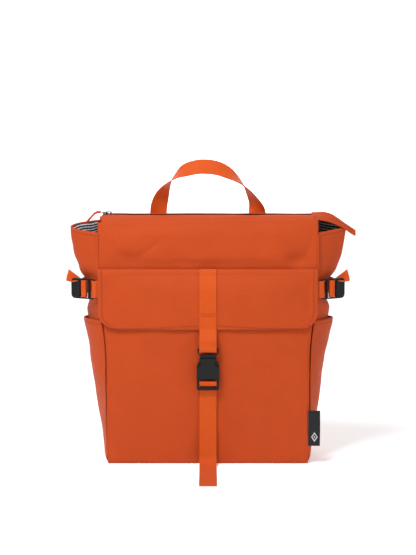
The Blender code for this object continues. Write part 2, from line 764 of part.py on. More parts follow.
def make_lower_strap(placed, first_slot, second_slot):
    """The webbing from the base seam up to the socket's ladder, the loop over its bar, and the long free tail."""
    across = (1.0, 0.0, 0.0)
    half = LADDER_THICKNESS / 2
    near = half + WEB_REST + WEB / 2 + 0.0001
    layer = WEB + WEB_REST
    bar_start = first_slot + LADDER_SLOT
    local = [(LOOP_END, -near - layer), (second_slot + 0.0040, -near - layer), (second_slot, -near - layer)]
    local += [(bar_start + 0.0010, -near - layer + 0.0003)]
    local += round_edge(bar_start, -1, half)[1:]
    local += list(reversed(round_edge(second_slot, 1, half)))[:-1]
    local += [(second_slot + 0.0030, -near), (second_slot + 0.0070, -near), (LOOP_END, -near)]
    loop = [placed @ Vector((s, 0.0, d)) for s, d in local]
    webbing("adjuster_loop", loop, across, ORANGE_WEB)

    top = BUCKLE_MOUTH - LOOP_END - TOUCH_GAP
    plane = buckle_y()

    def strap_y(z):
        return min(plane + near + layer, pocket_y(0.0, z) - WEB / 2 - WEB_REST - 0.0002)

    heights = (top, 0.080, 0.060, 0.042, 0.026, 0.014, 0.006)
    webbing("lower_strap", [(0.0, strap_y(z), z) for z in heights], across, ORANGE_WEB)
    floor = TOUCH_GAP + WEB / 2
    route = [(0.0, min(plane + near, strap_y(z) - layer), z) for z in heights[:4]]
    front = route[-1][1]
    route += [
        (0.0, front - 0.002, 0.024), (0.0, front - 0.006, 0.0105), (0.0, front - 0.016, 0.0026),
        (0.0, front - 0.030, floor), (0.0, front - 0.060, floor), (0.0, front - 0.095, floor),
        (0.0, front - 0.124, floor),
    ]
    webbing("strap_tail", route, across, ORANGE_WEB)


# ---------------------------------------------------------------- ladder locks and their webbing

def lock_slots():
    """Where the lock's three slots start, measured from its sewn end."""
    first = LOCK_END_BAR
    second = first + LOCK_FIRST_SLOT + LOCK_FIRST_BAR
    third = second + LOCK_SLOT + LOCK_BAR
    return first, second, third


def make_lock(name, placed):
    """A ladder lock: a bar for the sewn loop, two slots with a bar between them, and a tab to lift."""
    first, second, third = lock_slots()
    length = third + LOCK_SLOT + LOCK_TAB
    outline = rounded(0.0, length, -LOCK_HALF_WIDTH, LOCK_HALF_WIDTH, LOCK_CORNER, 4)
    slots = slot_outlines([first, second, third], [LOCK_FIRST_SLOT, LOCK_SLOT, LOCK_SLOT])
    plate(name, [outline, *slots], LOCK_PLATE, placed, BLACK_PLASTIC)


def loop_route(placed, start):
    """The sewn loop: from its start, over the lock's end bar, through the first slot and back behind."""
    ply = WEB / 2 + TOUCH_GAP / 2
    turn = list(reversed(round_edge(LOCK_END_BAR, 1, LOCK_PLATE / 2)))
    out = turn[0][1]
    local = [(start, ply), (start + 0.0016, ply + 0.0008), (-0.0010, out), *turn, (-0.0010, -out)]
    local += [(start + 0.0016, -ply - 0.0008), (start, -ply)]
    return [placed @ Vector((s, 0.0, d)) for s, d in local]


def threaded_route(placed, load, tail):
    """A webbing through a lock: its loaded run comes in behind, goes over the bar, and its tail leaves below the tab."""
    _, second, third = lock_slots()
    bar_start = second + LOCK_SLOT
    half = LOCK_PLATE / 2
    near = half + WEB_REST + WEB / 2 + 0.0001
    layer = WEB + WEB_REST
    local = [(third + 0.0120, -near - layer), (third + 0.0040, -near - layer), (third, -near - layer)]
    local += [(bar_start + 0.0010, -near - layer + 0.0003)]
    local += round_edge(bar_start, -1, half)[1:]
    local += list(reversed(round_edge(third, 1, half)))[:-1]
    local += [(third + 0.0030, -near), (third + 0.0070, -near), (third + 0.0130, -near)]
    middle = [placed @ Vector((s, 0.0, d)) for s, d in local]
    return load + middle + tail


def side_lock_frame(side):
    """A side lock starts beside the front seam and turns back along the gusset."""
    z = CINCH_HEIGHT
    origin = (side * (half_width(z) + 0.306 * bulge(z)), front_y(z) + 0.0015, z)
    along = (side * math.cos(LOCK_ANGLE), math.sin(LOCK_ANGLE), 0.0)
    outward = (side * math.sin(LOCK_ANGLE), -math.cos(LOCK_ANGLE), 0.0)
    return frame_of(origin, along, outward)


def make_side_strap(side, word):
    placed = side_lock_frame(side)
    make_lock(f"side_lock_{word}", placed)
    up = (0.0, 0.0, 1.0)
    webbing(f"side_loop_{word}", loop_route(placed, -0.0042), up, ORANGE_WEB)
    z = CINCH_HEIGHT
    fold = half_width(z) + bulge(z)
    back = back_y(z)
    load = [
        Vector((side * (half_width(z) + 0.0042), back - 0.0010, z)),
        Vector((side * (half_width(z) + 0.0130), back - 0.0115, z)),
        Vector((side * (fold + 0.0035), 0.0150, z)),
        Vector((side * (fold + 0.0075), 0.0, z)),
        Vector((side * (fold + 0.0090), -0.0100, z)),
    ]
    end = placed @ Vector((0.042, 0.0, -0.0035))
    tail = [
        end + Vector((side * 0.0020, 0.0060, 0.0040)),
        end + Vector((side * 0.0055, 0.0150, 0.0110)),
        end + Vector((side * 0.0085, 0.0260, 0.0180)),
    ]
    route = threaded_route(placed, load, tail)
    sides = [Vector(up)] * (len(route) - 3) + [
        Vector((side * 0.05, -0.10, 1.0)), Vector((side * 0.15, -0.25, 1.0)), Vector((side * 0.25, -0.35, 1.0)),
    ]
    webbing(f"side_strap_{word}", route, sides, ORANGE_WEB)


# ---------------------------------------------------------------- the handle

def handle_y():
    return back_y(HANDLE_BASE) + TOUCH_GAP + WEB / 2


def handle_route():
    """Up one leg, over and down the other: the webbing faces the front at its ends and turns on edge between."""
    y = handle_y()
    points, sides = [], []
    steps = 16
    for i in range(steps + 1):
        t = i / steps
        angle = math.pi * (1.0 - t)
        x = HANDLE_HALF_SPAN * math.copysign(abs(math.cos(angle)) ** 0.80, math.cos(angle))
        z = HANDLE_BASE + HANDLE_RISE * math.sin(angle) ** 0.86 if 0 < i < steps else HANDLE_BASE
        points.append(Vector((x, y, z)))
        turn = smooth(math.sin(angle), 0.15, 0.95)
        facing = Vector((1.0, 0.0, 0.0))
        flat = Vector((0.0, 0.55, 0.83))
        sides.append(facing.lerp(flat, turn) if t <= 0.5 else facing.lerp(-flat, turn))
    return points, sides


def make_handle():
    points, sides = handle_route()
    half = len(points) // 2
    # the second half's width runs the other way round, so the strip is turned over at the middle of its span
    sides = [s if i <= half else -s for i, s in enumerate(sides)]
    webbing("handle", points, sides, ORANGE_WEB, samples=32)
    low = HANDLE_BASE - HANDLE_SEWN
    for word, side in (("left", -1), ("right", 1)):
        x = side * HANDLE_HALF_SPAN
        route = [
            (x, back_y(z) + TOUCH_GAP + WEB / 2 + 0.0002, z)
            for z in (low, low + HANDLE_SEWN / 2, HANDLE_BASE - TOUCH_GAP - 0.6 * WEB)
        ]
        webbing(f"handle_end_{word}", route, (-1.0, 0.0, 0.0), ORANGE_WEB)


# ---------------------------------------------------------------- shoulder straps

def strap_middle(side, t):
    """The shoulder strap's middle line, t from 0 at the top to 1 at the base tab."""
    z = mix(PAD_TOP, TAB_HEIGHT, t)
    x = mix(STRAP_TOP_X, STRAP_BOTTOM_X, t ** 1.5)
    off = STRAP_STANDOFF * (1.0 - t) + (STRAP_BOW - STRAP_STANDOFF) * math.sin(math.pi * min(1.0, t * 1.02)) ** 0.9
    off += 0.0075 * t
    return Vector((side * x, back_y(z) + off, z))


def make_shoulder_strap(side, word):
    """A padded strap from the top of the back, a ladder lock at its end, and webbing down to a tab at the base."""
    pad_share = (PAD_TOP - PAD_BOTTOM) / (PAD_TOP - TAB_HEIGHT)

    def pad(u, v):
        t = pad_share * (1.0 - v)
        middle = strap_middle(side, t)
        taper = mix(1.0, 0.62, smooth(t, 0.75 * pad_share, pad_share))
        return middle + Vector((-(u - 0.5) * PAD_WIDTH * taper, PAD_THICKNESS / 2, 0.0))

    sheet(f"shoulder_pad_{word}", pad, 3, 14, PAD_THICKNESS, STRAP_PAD)

    def root(u, v):
        start = Vector((side * STRAP_TOP_X, back_y(HEIGHT - 0.012) + TOUCH_GAP + 0.0045, HEIGHT - 0.006))
        end = strap_middle(side, 0.0) + Vector((0.0, -0.001, 0.0035))
        middle = start.lerp(end, 1.0 - v)
        return middle + Vector((-(u - 0.5) * PAD_WIDTH, 0.0045, 0.0))

    sheet(f"shoulder_root_{word}", root, 2, 3, 0.006, STRAP_PAD)

    pad_end = strap_middle(side, pad_share)
    ahead = strap_middle(side, pad_share + 0.06)
    along = (ahead - pad_end).normalized()
    placed = frame_of(pad_end + along * 0.0095, along, (0.0, 1.0, 0.0))
    make_lock(f"shoulder_lock_{word}", placed)
    across = placed.to_3x3() @ Vector((0.0, 1.0, 0.0))
    webbing(f"shoulder_loop_{word}", loop_route(placed, -0.0040), across, ORANGE_WEB)
    load = [strap_middle(side, t) for t in (0.985, 0.94, 0.88)]
    load.append(placed @ Vector((0.0500, 0.0, -0.0062)))
    end = placed @ Vector((0.0445, 0.0, -0.0030))
    tail = [
        end + Vector((side * 0.0010, 0.0000, -0.006)),
        end + Vector((side * 0.0030, 0.0010, -0.020)),
        end + Vector((side * 0.0060, 0.0060, -0.050)),
        end + Vector((side * 0.0080, 0.0070, -0.080)),
    ]
    webbing(f"shoulder_webbing_{word}", threaded_route(placed, load, tail), across, ORANGE_WEB)

    foot = strap_middle(side, 1.0)
    tab_top = back_y(TAB_HEIGHT) + TOUCH_GAP + 0.0015
    route = [
        (side * (STRAP_BOTTOM_X + 0.004), back_y(0.008) + TOUCH_GAP + 0.0015, 0.006),
        (side * (STRAP_BOTTOM_X + 0.002), tab_top + 0.001, 0.016),
        (foot.x, foot.y - 0.001, foot.z - 0.004),
    ]
    webbing(f"shoulder_tab_{word}", route, (1.0, 0.0, 0.0), ORANGE_CLOTH, width=0.030, thickness=0.0024)


# ---------------------------------------------------------------- assembly

clear_scene()
PARTS = bpy.data.collections.new("Backpack")
CUTTERS = bpy.data.collections.new("Cutters")
for collection in (PARTS, CUTTERS):
    bpy.context.scene.collection.children.link(collection)

ORANGE_CLOTH = new_material("orange_cloth", (0.60, 0.090, 0.022), 0.75)
ORANGE_WEB = new_material("orange_web", (0.74, 0.125, 0.022), 0.70)
BACK_MESH = new_material("back_mesh", (0.60, 0.090, 0.022), 0.85)
STRIPED_LINING = new_material("striped_lining", (0.10, 0.10, 0.14), 0.80)
FOAM_GREY = new_material("foam", (0.25, 0.25, 0.25), 0.90)
BOARD_GREY = new_material("board", (0.12, 0.12, 0.12), 0.60)
BLACK_PLASTIC = new_material("black_plastic", (0.018, 0.018, 0.020), 0.42)
BLACK_RIBBON = new_material("black_ribbon", (0.015, 0.014, 0.017), 0.80)
STRAP_PAD = new_material("strap_pad", (0.60, 0.090, 0.022), 0.80)
ZIP_CLOTH = new_material("zip_cloth", (0.35, 0.045, 0.020), 0.80)
ZIP_COIL = new_material("zip_coil", (0.25, 0.030, 0.018), 0.45)
METAL = new_material("dark_metal", (0.10, 0.095, 0.085), 0.38, 1.0)

make_shell()
make_inside()
make_pocket()
make_side_pocket("side_pocket_left", -1)
make_side_pocket("side_pocket_right", 1)
make_label()
make_zip()
make_slider()
make_zip_tail()
make_flap()
make_flap_strap()
make_lower_strap(*make_buckle())
for turn, hand in ((-1, "left"), (1, "right")):
    make_side_strap(turn, hand)
    make_shoulder_strap(turn, hand)
make_handle()
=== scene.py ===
import math

import bpy
import numpy as np
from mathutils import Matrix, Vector


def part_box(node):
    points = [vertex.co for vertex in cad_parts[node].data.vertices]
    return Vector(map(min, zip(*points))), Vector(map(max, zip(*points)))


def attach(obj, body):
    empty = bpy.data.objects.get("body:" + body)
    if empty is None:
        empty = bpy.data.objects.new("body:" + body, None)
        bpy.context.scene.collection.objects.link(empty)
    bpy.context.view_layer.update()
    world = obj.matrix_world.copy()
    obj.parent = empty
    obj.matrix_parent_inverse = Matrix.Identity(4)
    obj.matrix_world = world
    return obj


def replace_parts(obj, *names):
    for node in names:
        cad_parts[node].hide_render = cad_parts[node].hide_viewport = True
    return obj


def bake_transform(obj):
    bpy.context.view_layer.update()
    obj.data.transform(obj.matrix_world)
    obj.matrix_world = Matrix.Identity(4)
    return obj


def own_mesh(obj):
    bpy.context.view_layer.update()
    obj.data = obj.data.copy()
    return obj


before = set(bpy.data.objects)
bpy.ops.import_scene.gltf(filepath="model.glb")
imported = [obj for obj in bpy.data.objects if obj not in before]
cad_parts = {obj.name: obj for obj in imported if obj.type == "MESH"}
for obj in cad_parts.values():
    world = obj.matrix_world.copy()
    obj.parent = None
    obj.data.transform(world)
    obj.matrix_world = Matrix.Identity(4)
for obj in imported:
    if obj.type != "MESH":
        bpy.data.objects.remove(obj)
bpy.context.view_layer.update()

# ---- The room
# A white floor and a lit white wall behind it, a large soft light above on the left, and the camera a little above
# the object.

camera_data = bpy.data.cameras.new("camera")
camera_data.sensor_fit = "VERTICAL"
camera_data.sensor_height = 36.0
camera_data.lens = 99.05
camera = bpy.data.objects.new("camera", camera_data)
bpy.context.scene.collection.objects.link(camera)
camera.location = (0.0, -2.25, 0.56)
camera.rotation_euler = (Vector((0.0, -0.05, 0.2755)) - camera.location).to_track_quat("-Z", "Y").to_euler()
bpy.context.scene.camera = camera
bpy.context.scene.view_settings.view_transform = "Standard"


def add(tree, kind, inputs=(), **settings):
    """A shader node with its settings, and its inputs set to a value or linked from another node's output."""
    node = tree.nodes.new(kind)
    for name, value in settings.items():
        setattr(node, name, value)
    for name, value in dict(inputs).items():
        if isinstance(value, bpy.types.NodeSocket):
            tree.links.new(value, node.inputs[name])
        else:
            node.inputs[name].default_value = value
    return node


room = bpy.data.worlds.new("room")
room.use_nodes = True
room.node_tree.nodes["Background"].inputs["Color"].default_value = (1.0, 1.0, 1.0, 1.0)
room.node_tree.nodes["Background"].inputs["Strength"].default_value = 0.29
bpy.context.scene.world = room

for name, place, aim, size, power in (
    ("key_light", (-0.50, -0.78, 1.64), (0.0, -0.05, 0.25), 0.55, 25.0),
    ("fill_light", (1.4, -1.2, 0.9), (0.0, 0.0, 0.2), 1.2, 5.0),
    ("back_light", (0.0, 1.6, 1.6), (0.0, 0.0, 0.2), 1.4, 6.0),
):
    light_data = bpy.data.lights.new(name, "AREA")
    light_data.size = size
    light_data.energy = power
    light = bpy.data.objects.new(name, light_data)
    light.location = place
    light.rotation_euler = (Vector(aim) - Vector(place)).to_track_quat("-Z", "Y").to_euler()
    bpy.context.scene.collection.objects.link(light)

reach = 6.0
for name, corners, glow in (
    ("floor", [(-reach, -reach, 0), (reach, -reach, 0), (reach, reach, 0), (-reach, reach, 0)], 0.30),
    ("wall", [(-reach, 4.0, -1.0), (reach, 4.0, -1.0), (reach, 4.0, 5.0), (-reach, 4.0, 5.0)], 1.0),
):
    paint = bpy.data.materials.new(f"{name}_paint")
    paint.use_nodes = True
    shader = paint.node_tree.nodes["Principled BSDF"]
    shader.inputs["Base Color"].default_value = (0.93, 0.93, 0.93, 1.0)
    shader.inputs["Roughness"].default_value = 0.9
    shader.inputs["Specular IOR Level"].default_value = 0.0
    shader.inputs["Emission Color"].default_value = (1.0, 1.0, 1.0, 1.0)
    shader.inputs["Emission Strength"].default_value = glow
    surface = bpy.data.meshes.new(name)
    surface.from_pydata(corners, [], [(0, 1, 2, 3)])
    surface.materials.append(paint)
    backdrop = bpy.data.objects.new(name, surface)
    bpy.context.scene.collection.objects.link(backdrop)

# ---- The front panel
# Woven nylon cloth, cut as one trapezium with a flared top and sewn to the sides and base. It is slack above the
# flap, where it sinks in beside the pocket's top corners.

HEIGHT = 0.358
CLOTH = 0.0012
SEAM_START = 0.0020  # the panels start this far above the base


def smooth(value, low, high):
    """0 below low, 1 above high, and the cubic 3t^2 - 2t^3 between them."""
    t = np.clip((value - low) / (high - low), 0.0, 1.0)
    return t * t * (3.0 - 2.0 * t)


def mix(a, b, t):
    return a + (b - a) * t


def half_width(z):
    """Half of the front's width: 147 mm below 150 mm up, growing smoothly to 161 mm at 300 mm up; the lowest 8 mm are
    rounded in as a quarter circle."""
    drop = np.clip(0.008 - z, 0.0, 0.008)
    return 0.147 + 0.014 * smooth(z, 0.150, 0.300) - (0.008 - np.sqrt(0.008 ** 2 - drop ** 2))


def front_y(z):
    """The front's line: 54 mm ahead of the middle at the base, leaning 30 mm back at the top as height to the 1.6."""
    return -0.054 + 0.030 * np.clip(z / HEIGHT, 0.0, None) ** 1.6


def back_y(z):
    """The back's line: 54 mm behind the middle at the base, leaning 28 mm forward at the top as height to the 1.6."""
    return 0.054 - 0.028 * np.clip(z / HEIGHT, 0.0, None) ** 1.6


def slack(a, b, wave, turn):
    """A cloth's shallow, uneven waves: the sum of four sines of different length and direction, about 1 high."""
    a, b = a / wave, b / wave
    return (
        0.42 * np.sin(2 * np.pi * (0.62 * a + 0.31 * b) + turn)
        + 0.30 * np.sin(2 * np.pi * (-0.41 * a + 0.83 * b) + 2.1 * turn + 1.0)
        + 0.20 * np.sin(2 * np.pi * (1.37 * a + 0.52 * b) + 0.7 * turn + 2.3)
        + 0.14 * np.sin(2 * np.pi * (0.93 * a - 1.71 * b) + 1.7 * turn + 4.0)
    )


def grid(columns, rows):
    """Two arrays, u and v, each from 0 to 1 over a grid of columns by rows cells."""
    return np.meshgrid(np.linspace(0, 1, columns + 1), np.linspace(0, 1, rows + 1), indexing="ij")


def hat(points):
    """The points' vectors at unit length."""
    return points / np.maximum(np.linalg.norm(points, axis=-1, keepdims=True), 1e-12)


def normals(P):
    """The surface's outward direction: the cross product of its run along u and its run along v."""
    return hat(np.cross(np.gradient(P, axis=0), np.gradient(P, axis=1)))


def mesh_object(name, verts, faces, material, uv=None, **attributes):
    """A smooth-shaded object at the origin from arrays of points and faces, with a UV map in metres."""
    mesh = bpy.data.meshes.new(name)
    mesh.from_pydata(verts.reshape(-1, 3).tolist(), [], faces)
    mesh.polygons.foreach_set("use_smooth", np.ones(len(mesh.polygons), bool))
    if uv is not None:
        layer = mesh.uv_layers.new(name="UVMap")
        index = np.zeros(len(mesh.loops), np.int32)
        mesh.loops.foreach_get("vertex_index", index)
        layer.data.foreach_set("uv", uv.reshape(-1, 2)[index].astype(np.float32).ravel())
    for key, values in attributes.items():
        mesh.attributes.new(key, "FLOAT", "POINT").data.foreach_set("value", values.astype(np.float32).ravel())
    mesh.materials.append(material)
    obj = bpy.data.objects.new(name, mesh)
    bpy.context.scene.collection.objects.link(obj)
    return obj


def cloth(name, P, thickness, material, hems="lrbt"):
    """A cloth of that thickness under the outer face P, its rim rounded. hem is each point's distance to the nearest
    sewn edge of those in hems (left, right, bottom, top), and run its distance along that edge."""
    m, n = P.shape[:2]
    N = normals(P)
    Q = P - N * thickness
    s = np.concatenate([np.zeros((1, n)), np.cumsum(np.linalg.norm(np.diff(P, axis=0), axis=-1), axis=0)], axis=0)
    t = np.concatenate([np.zeros((m, 1)), np.cumsum(np.linalg.norm(np.diff(P, axis=1), axis=-1), axis=1)], axis=1)
    ways = {"l": (s, t), "r": (s[-1:] - s, t), "b": (t, s), "t": (t[:, -1:] - t, s)}
    hem, run = np.full((m, n), 1.0), t.copy()
    for side in hems:
        near, along = ways[side]
        run = np.where(near < hem, along, run)
        hem = np.minimum(near, hem)
    ring = [(i, 0) for i in range(m)] + [(m - 1, j) for j in range(1, n)]
    ring += [(i, n - 1) for i in range(m - 2, -1, -1)] + [(0, j) for j in range(n - 2, 0, -1)]
    ri, rj = np.array(ring).T
    inner = P[np.clip(ri, 1, m - 2), np.clip(rj, 1, n - 2)]
    out = hat(P[ri, rj] - inner)
    rim = (P[ri, rj] + Q[ri, rj]) / 2 + out * thickness * 0.42
    index = np.arange(m * n).reshape(m, n)
    a, b, c, d = index[:-1, :-1], index[1:, :-1], index[1:, 1:], index[:-1, 1:]
    front = np.stack([a, b, c, d], -1).reshape(-1, 4)
    back = np.stack([a, d, c, b], -1).reshape(-1, 4) + m * n
    edge = index[ri, rj]
    follow = np.roll(edge, -1)
    lip = np.arange(len(edge)) + 2 * m * n
    after = np.roll(lip, -1)
    upper = np.stack([edge, lip, after, follow], -1)
    lower = np.stack([lip, edge + m * n, follow + m * n, after], -1)
    verts = np.concatenate([P.reshape(-1, 3), Q.reshape(-1, 3), rim])
    uv = np.stack([s, t], -1).reshape(-1, 2)
    uv = np.concatenate([uv, uv, uv[edge]])
    hem, run = hem.ravel(), run.ravel()
    faces = np.concatenate([front, back, upper, lower]).tolist()
    made = mesh_object(
        name, verts, faces, material, uv,
        hem=np.concatenate([hem, hem, hem[edge]]), run=np.concatenate([run, run, run[edge]]),
    )
    return made


def group(name, inputs, outputs):
    """An empty shader group with named sockets, and its input and output nodes."""
    tree = bpy.data.node_groups.new(name, "ShaderNodeTree")
    for socket, kind, value in inputs:
        made = tree.interface.new_socket(socket, in_out="INPUT", socket_type=f"NodeSocket{kind}")
        if value is not None:
            made.default_value = value
    for socket, kind in outputs:
        tree.interface.new_socket(socket, in_out="OUTPUT", socket_type=f"NodeSocket{kind}")
    return tree, tree.nodes.new("NodeGroupInput"), tree.nodes.new("NodeGroupOutput")


def maths(tree, operation, a, b=0.0, clamp=False):
    """One step of arithmetic between two values or outputs."""
    node = add(tree, "ShaderNodeMath", operation=operation, use_clamp=clamp)
    for socket, value in zip(node.inputs, (a, b)):
        if isinstance(value, bpy.types.NodeSocket):
            tree.links.new(value, socket)
        else:
            socket.default_value = value
    return node.outputs[0]


def colours(tree, factor, a, b):
    """The colour a turning into b as factor goes from 0 to 1; a is a colour or another node's output."""
    node = add(tree, "ShaderNodeMix", {"Factor": factor}, data_type="RGBA")
    if isinstance(a, bpy.types.NodeSocket):
        tree.links.new(a, node.inputs["A"])
    else:
        node.inputs["A"].default_value = (*a, 1.0)
    node.inputs["B"].default_value = (*b, 1.0)
    return node.outputs["Result"]


def remap(tree, value, low, high, to_low=0.0, to_high=1.0, **settings):
    """The value's range from low to high, clamped and carried to the range from to_low to to_high."""
    ends = {"From Min": low, "From Max": high, "To Min": to_low, "To Max": to_high}
    return add(tree, "ShaderNodeMapRange", {"Value": value, **ends}, **settings).outputs[0]


def emboss(tree, height, **strength):
    """The surface's normal under bumps of that height in metres, joined to the material's shader."""
    bump = add(tree, "ShaderNodeBump", {"Height": height, "Distance": 1.0, **strength})
    tree.links.new(bump.outputs["Normal"], tree.nodes["Principled BSDF"].inputs["Normal"])


def phase(tree, value, pitch):
    """The sine of the value, one turn to each pitch."""
    return maths(tree, "SINE", maths(tree, "MULTIPLY", maths(tree, "DIVIDE", value, pitch), 2 * math.pi))


def material_tree(name):
    """A new material, its node tree and its shader."""
    made = bpy.data.materials.new(name)
    made.use_nodes = True
    return made, made.node_tree, made.node_tree.nodes["Principled BSDF"]


# Yarns crossing over and under: the product of two sines, one a pitch long each way
weave, given, result = group(
    "Weave",
    [("Vector", "Vector", None), ("Across", "Float", 0.0006), ("Along", "Float", 0.0006)],
    [("Height", "Float")],
)
parts = add(weave, "ShaderNodeSeparateXYZ", {"Vector": given.outputs["Vector"]})
turns = [
    phase(weave, parts.outputs[axis], given.outputs[pitch]) for axis, pitch in (("X", "Across"), ("Y", "Along"))
]
weave.links.new(maths(weave, "MULTIPLY_ADD", maths(weave, "MULTIPLY", *turns), 0.5), result.inputs["Height"])

# A row of stitches at a set distance from a hem: short threads in a shallow groove
stitching, given, result = group(
    "Stitching",
    [("Hem", "Float", 0.0), ("Run", "Float", 0.0), ("Offset", "Float", 0.005), ("Pitch", "Float", 0.003)],
    [("Thread", "Float"), ("Height", "Float")],
)
off = maths(stitching, "ABSOLUTE", maths(stitching, "SUBTRACT", given.outputs["Hem"], given.outputs["Offset"]))
near = remap(stitching, off, 0.0003, 0.0006, 1.0, 0.0)
dip = remap(stitching, off, 0.0002, 0.0018, -1.0, 0.0, interpolation_type="SMOOTHSTEP")
dash = remap(stitching, phase(stitching, given.outputs["Run"], given.outputs["Pitch"]), -0.75, -0.35)
thread = maths(stitching, "MULTIPLY", near, dash)
stitching.links.new(thread, result.inputs["Thread"])
raised = maths(stitching, "ADD", dip, maths(stitching, "MULTIPLY", thread, 0.7))
stitching.links.new(raised, result.inputs["Height"])


def fabric(
    name, colour, thread_colour, across=0.0007, along=0.0007, offset=0.005,
    rough=0.62, sheen=0.04, weave_height=0.00010, uneven=0.07,
):
    """Woven cloth: yarn bumps, an uneven dye, one row of stitches beside its hems, and painted shade in their groove.
    """
    made, tree, shader = material_tree(name)
    place = add(tree, "ShaderNodeTexCoord")
    yarn = add(tree, "ShaderNodeGroup", node_tree=weave)
    tree.links.new(place.outputs["UV"], yarn.inputs["Vector"])
    yarn.inputs["Across"].default_value = across
    yarn.inputs["Along"].default_value = along
    seam = add(tree, "ShaderNodeGroup", node_tree=stitching)
    for attribute, socket in (("hem", "Hem"), ("run", "Run")):
        stored = add(tree, "ShaderNodeAttribute", attribute_name=attribute)
        tree.links.new(stored.outputs["Fac"], seam.inputs[socket])
    seam.inputs["Offset"].default_value = offset
    coarse = {"Vector": place.outputs["Object"], "Scale": 26.0, "Detail": 4.0, "Roughness": 0.6}
    patch = add(tree, "ShaderNodeTexNoise", coarse).outputs["Fac"]
    fine = {"Vector": place.outputs["Object"], "Scale": 900.0, "Detail": 2.0}
    fleck = add(tree, "ShaderNodeTexNoise", fine).outputs["Fac"]
    tone = maths(tree, "ADD", maths(tree, "MULTIPLY", patch, 0.65), maths(tree, "MULTIPLY", fleck, 0.35))
    dark = tuple(c * (1.0 - 2.2 * uneven) for c in colour)
    light = tuple(min(1.0, c * (1.0 + 2.2 * uneven)) for c in colour)
    sewn = colours(tree, seam.outputs["Thread"], colours(tree, tone, dark, light), thread_colour)
    # Painted shade: the cloth's colour is darkened down to 72% where the groove beside the stitches dips.
    painted_groove_shade = remap(tree, seam.outputs["Height"], -1.0, 0.0, 0.72, 1.0)
    shaded = add(tree, "ShaderNodeVectorMath", {"Vector": sewn, "Scale": painted_groove_shade}, operation="SCALE")
    tree.links.new(shaded.outputs["Vector"], shader.inputs["Base Color"])
    yarns = maths(tree, "MULTIPLY", yarn.outputs["Height"], weave_height)
    height = maths(tree, "ADD", yarns, maths(tree, "MULTIPLY", seam.outputs["Height"], 0.0006))
    emboss(tree, maths(tree, "ADD", height, maths(tree, "MULTIPLY", patch, 0.0006)), Strength=0.8)
    tree.links.new(remap(tree, tone, 0.3, 0.7, rough - 0.06, rough + 0.06), shader.inputs["Roughness"])
    shader.inputs["Sheen Weight"].default_value = sheen
    shader.inputs["Specular IOR Level"].default_value = 0.15
    return made


orange = fabric("orange_nylon", (0.505, 0.061, 0.0085), (0.62, 0.08, 0.02))


def front_line(x, z):
    """The front panel's outer face: its leaning line, pushed out 5 mm by what is inside above the flap, sunk up to
    8 mm at two places just above the flap near its ends, with a slanting crease from each, and shallow waves."""
    edge = np.clip(1.0 - np.abs(x) / half_width(z), 0.0, 1.0)
    upper = smooth(z, 0.282, 0.300) * smooth(HEIGHT - z, 0.0, 0.020)
    full = 0.0048 * upper * smooth(edge, 0.0, 0.35)
    sunk = 0.0066 * np.exp(-(((x + 0.114) / 0.022) ** 2) - (((z - 0.3000) / 0.0125) ** 2))
    sunk += 0.0058 * np.exp(-(((x - 0.130) / 0.016) ** 2) - (((z - 0.2990) / 0.0100) ** 2))
    sunk += 0.0030 * np.exp(-((x / 0.110) ** 2) - (((z - 0.2950) / 0.0065) ** 2))
    for at, lean in ((-0.104, 0.9), (-0.126, -0.5), (0.118, -0.8), (0.142, 0.3)):
        beside = (x - at) * 0.8 - (z - 0.300) * lean
        sunk += 0.0019 * np.exp(-((beside / 0.0042) ** 2) - (((z - 0.314) / 0.013) ** 2))
    waves = 0.0014 * slack(x, z, 0.080, 0.6) * upper * smooth(edge, 0.0, 0.12)
    return front_y(z) - full + sunk * smooth(edge, 0.0, 0.06) - waves


def sag(x, side=-1):
    """How far the front panel's top edge hangs low: 5.5 mm at its left end, nothing at its right or at the back."""
    return (0.0055 * smooth(0.14 - x, 0.0, 0.34) if side < 0 else 0.0) + 0 * x


U, V = grid(90, 110)
z = mix(SEAM_START, HEIGHT, V)
x = (2 * U - 1) * half_width(z)
y = front_line(x, z)
z = z - sag(x) * smooth(z, 0.290, HEIGHT)
front_panel = cloth("front_cloth", np.stack([x, y, z], -1), CLOTH, orange, "")
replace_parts(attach(front_panel, "bag"), "front_panel")

# ---- The side gussets and base
# Each side is one strip of the same cloth, sewn to both panels and folded outwards; it stands open in a point at its
# top hem, and the side strap draws it in.

STRAP_HEIGHT = 0.256


def bulge(z):
    """How far the fold stands out of the seams: 5 mm at the base, growing by 39 mm up to the hem, less 14 mm where the
    side strap draws it in."""
    grown = 0.039 * z / (HEIGHT - 0.005)
    return 0.005 + grown - 0.014 * np.exp(-(((z - STRAP_HEIGHT) / 0.031) ** 2))


def hem_height(v):
    """The gusset's top hem: 338 mm up at the front seam, 353 mm at the back seam."""
    return mix(0.338, 0.353, v)


def gusset_face(v, z, side, stand=0.0):
    """The gusset's outer face: across it, from seam to seam, the fold rises as 1 - |2v - 1| to a power that sharpens
    from 2 at the base to 1.45 at the right-hand hem and 1.75 at the left. Creases run out from the strap, and waves
    lie along the rest."""
    power = mix(2.0, 1.45 if side > 0 else 1.75, smooth(z, 0.0, 0.338))
    fold = 1.0 - np.abs(2.0 * v - 1.0) ** power
    slackness = smooth(fold, 0.02, 0.35)
    ripple = 0.0015 * slack(v * 0.1, z, 0.050, 1.3 + side) * slackness
    above = z - STRAP_HEIGHT
    pull = 0.0016 * np.exp(-((above / 0.040) ** 2)) * np.sin(above * 230 + 5.0 * v) * slackness
    uneven = (ripple + pull) * (0.4 + 0.6 * smooth(z, 0.05, 0.2))
    x = half_width(z) + (bulge(z) + stand) * fold + uneven
    y = mix(front_y(z) + CLOTH + 0.0005, back_y(z) - 0.0020, v)
    return np.stack([side * x, y, z], -1)


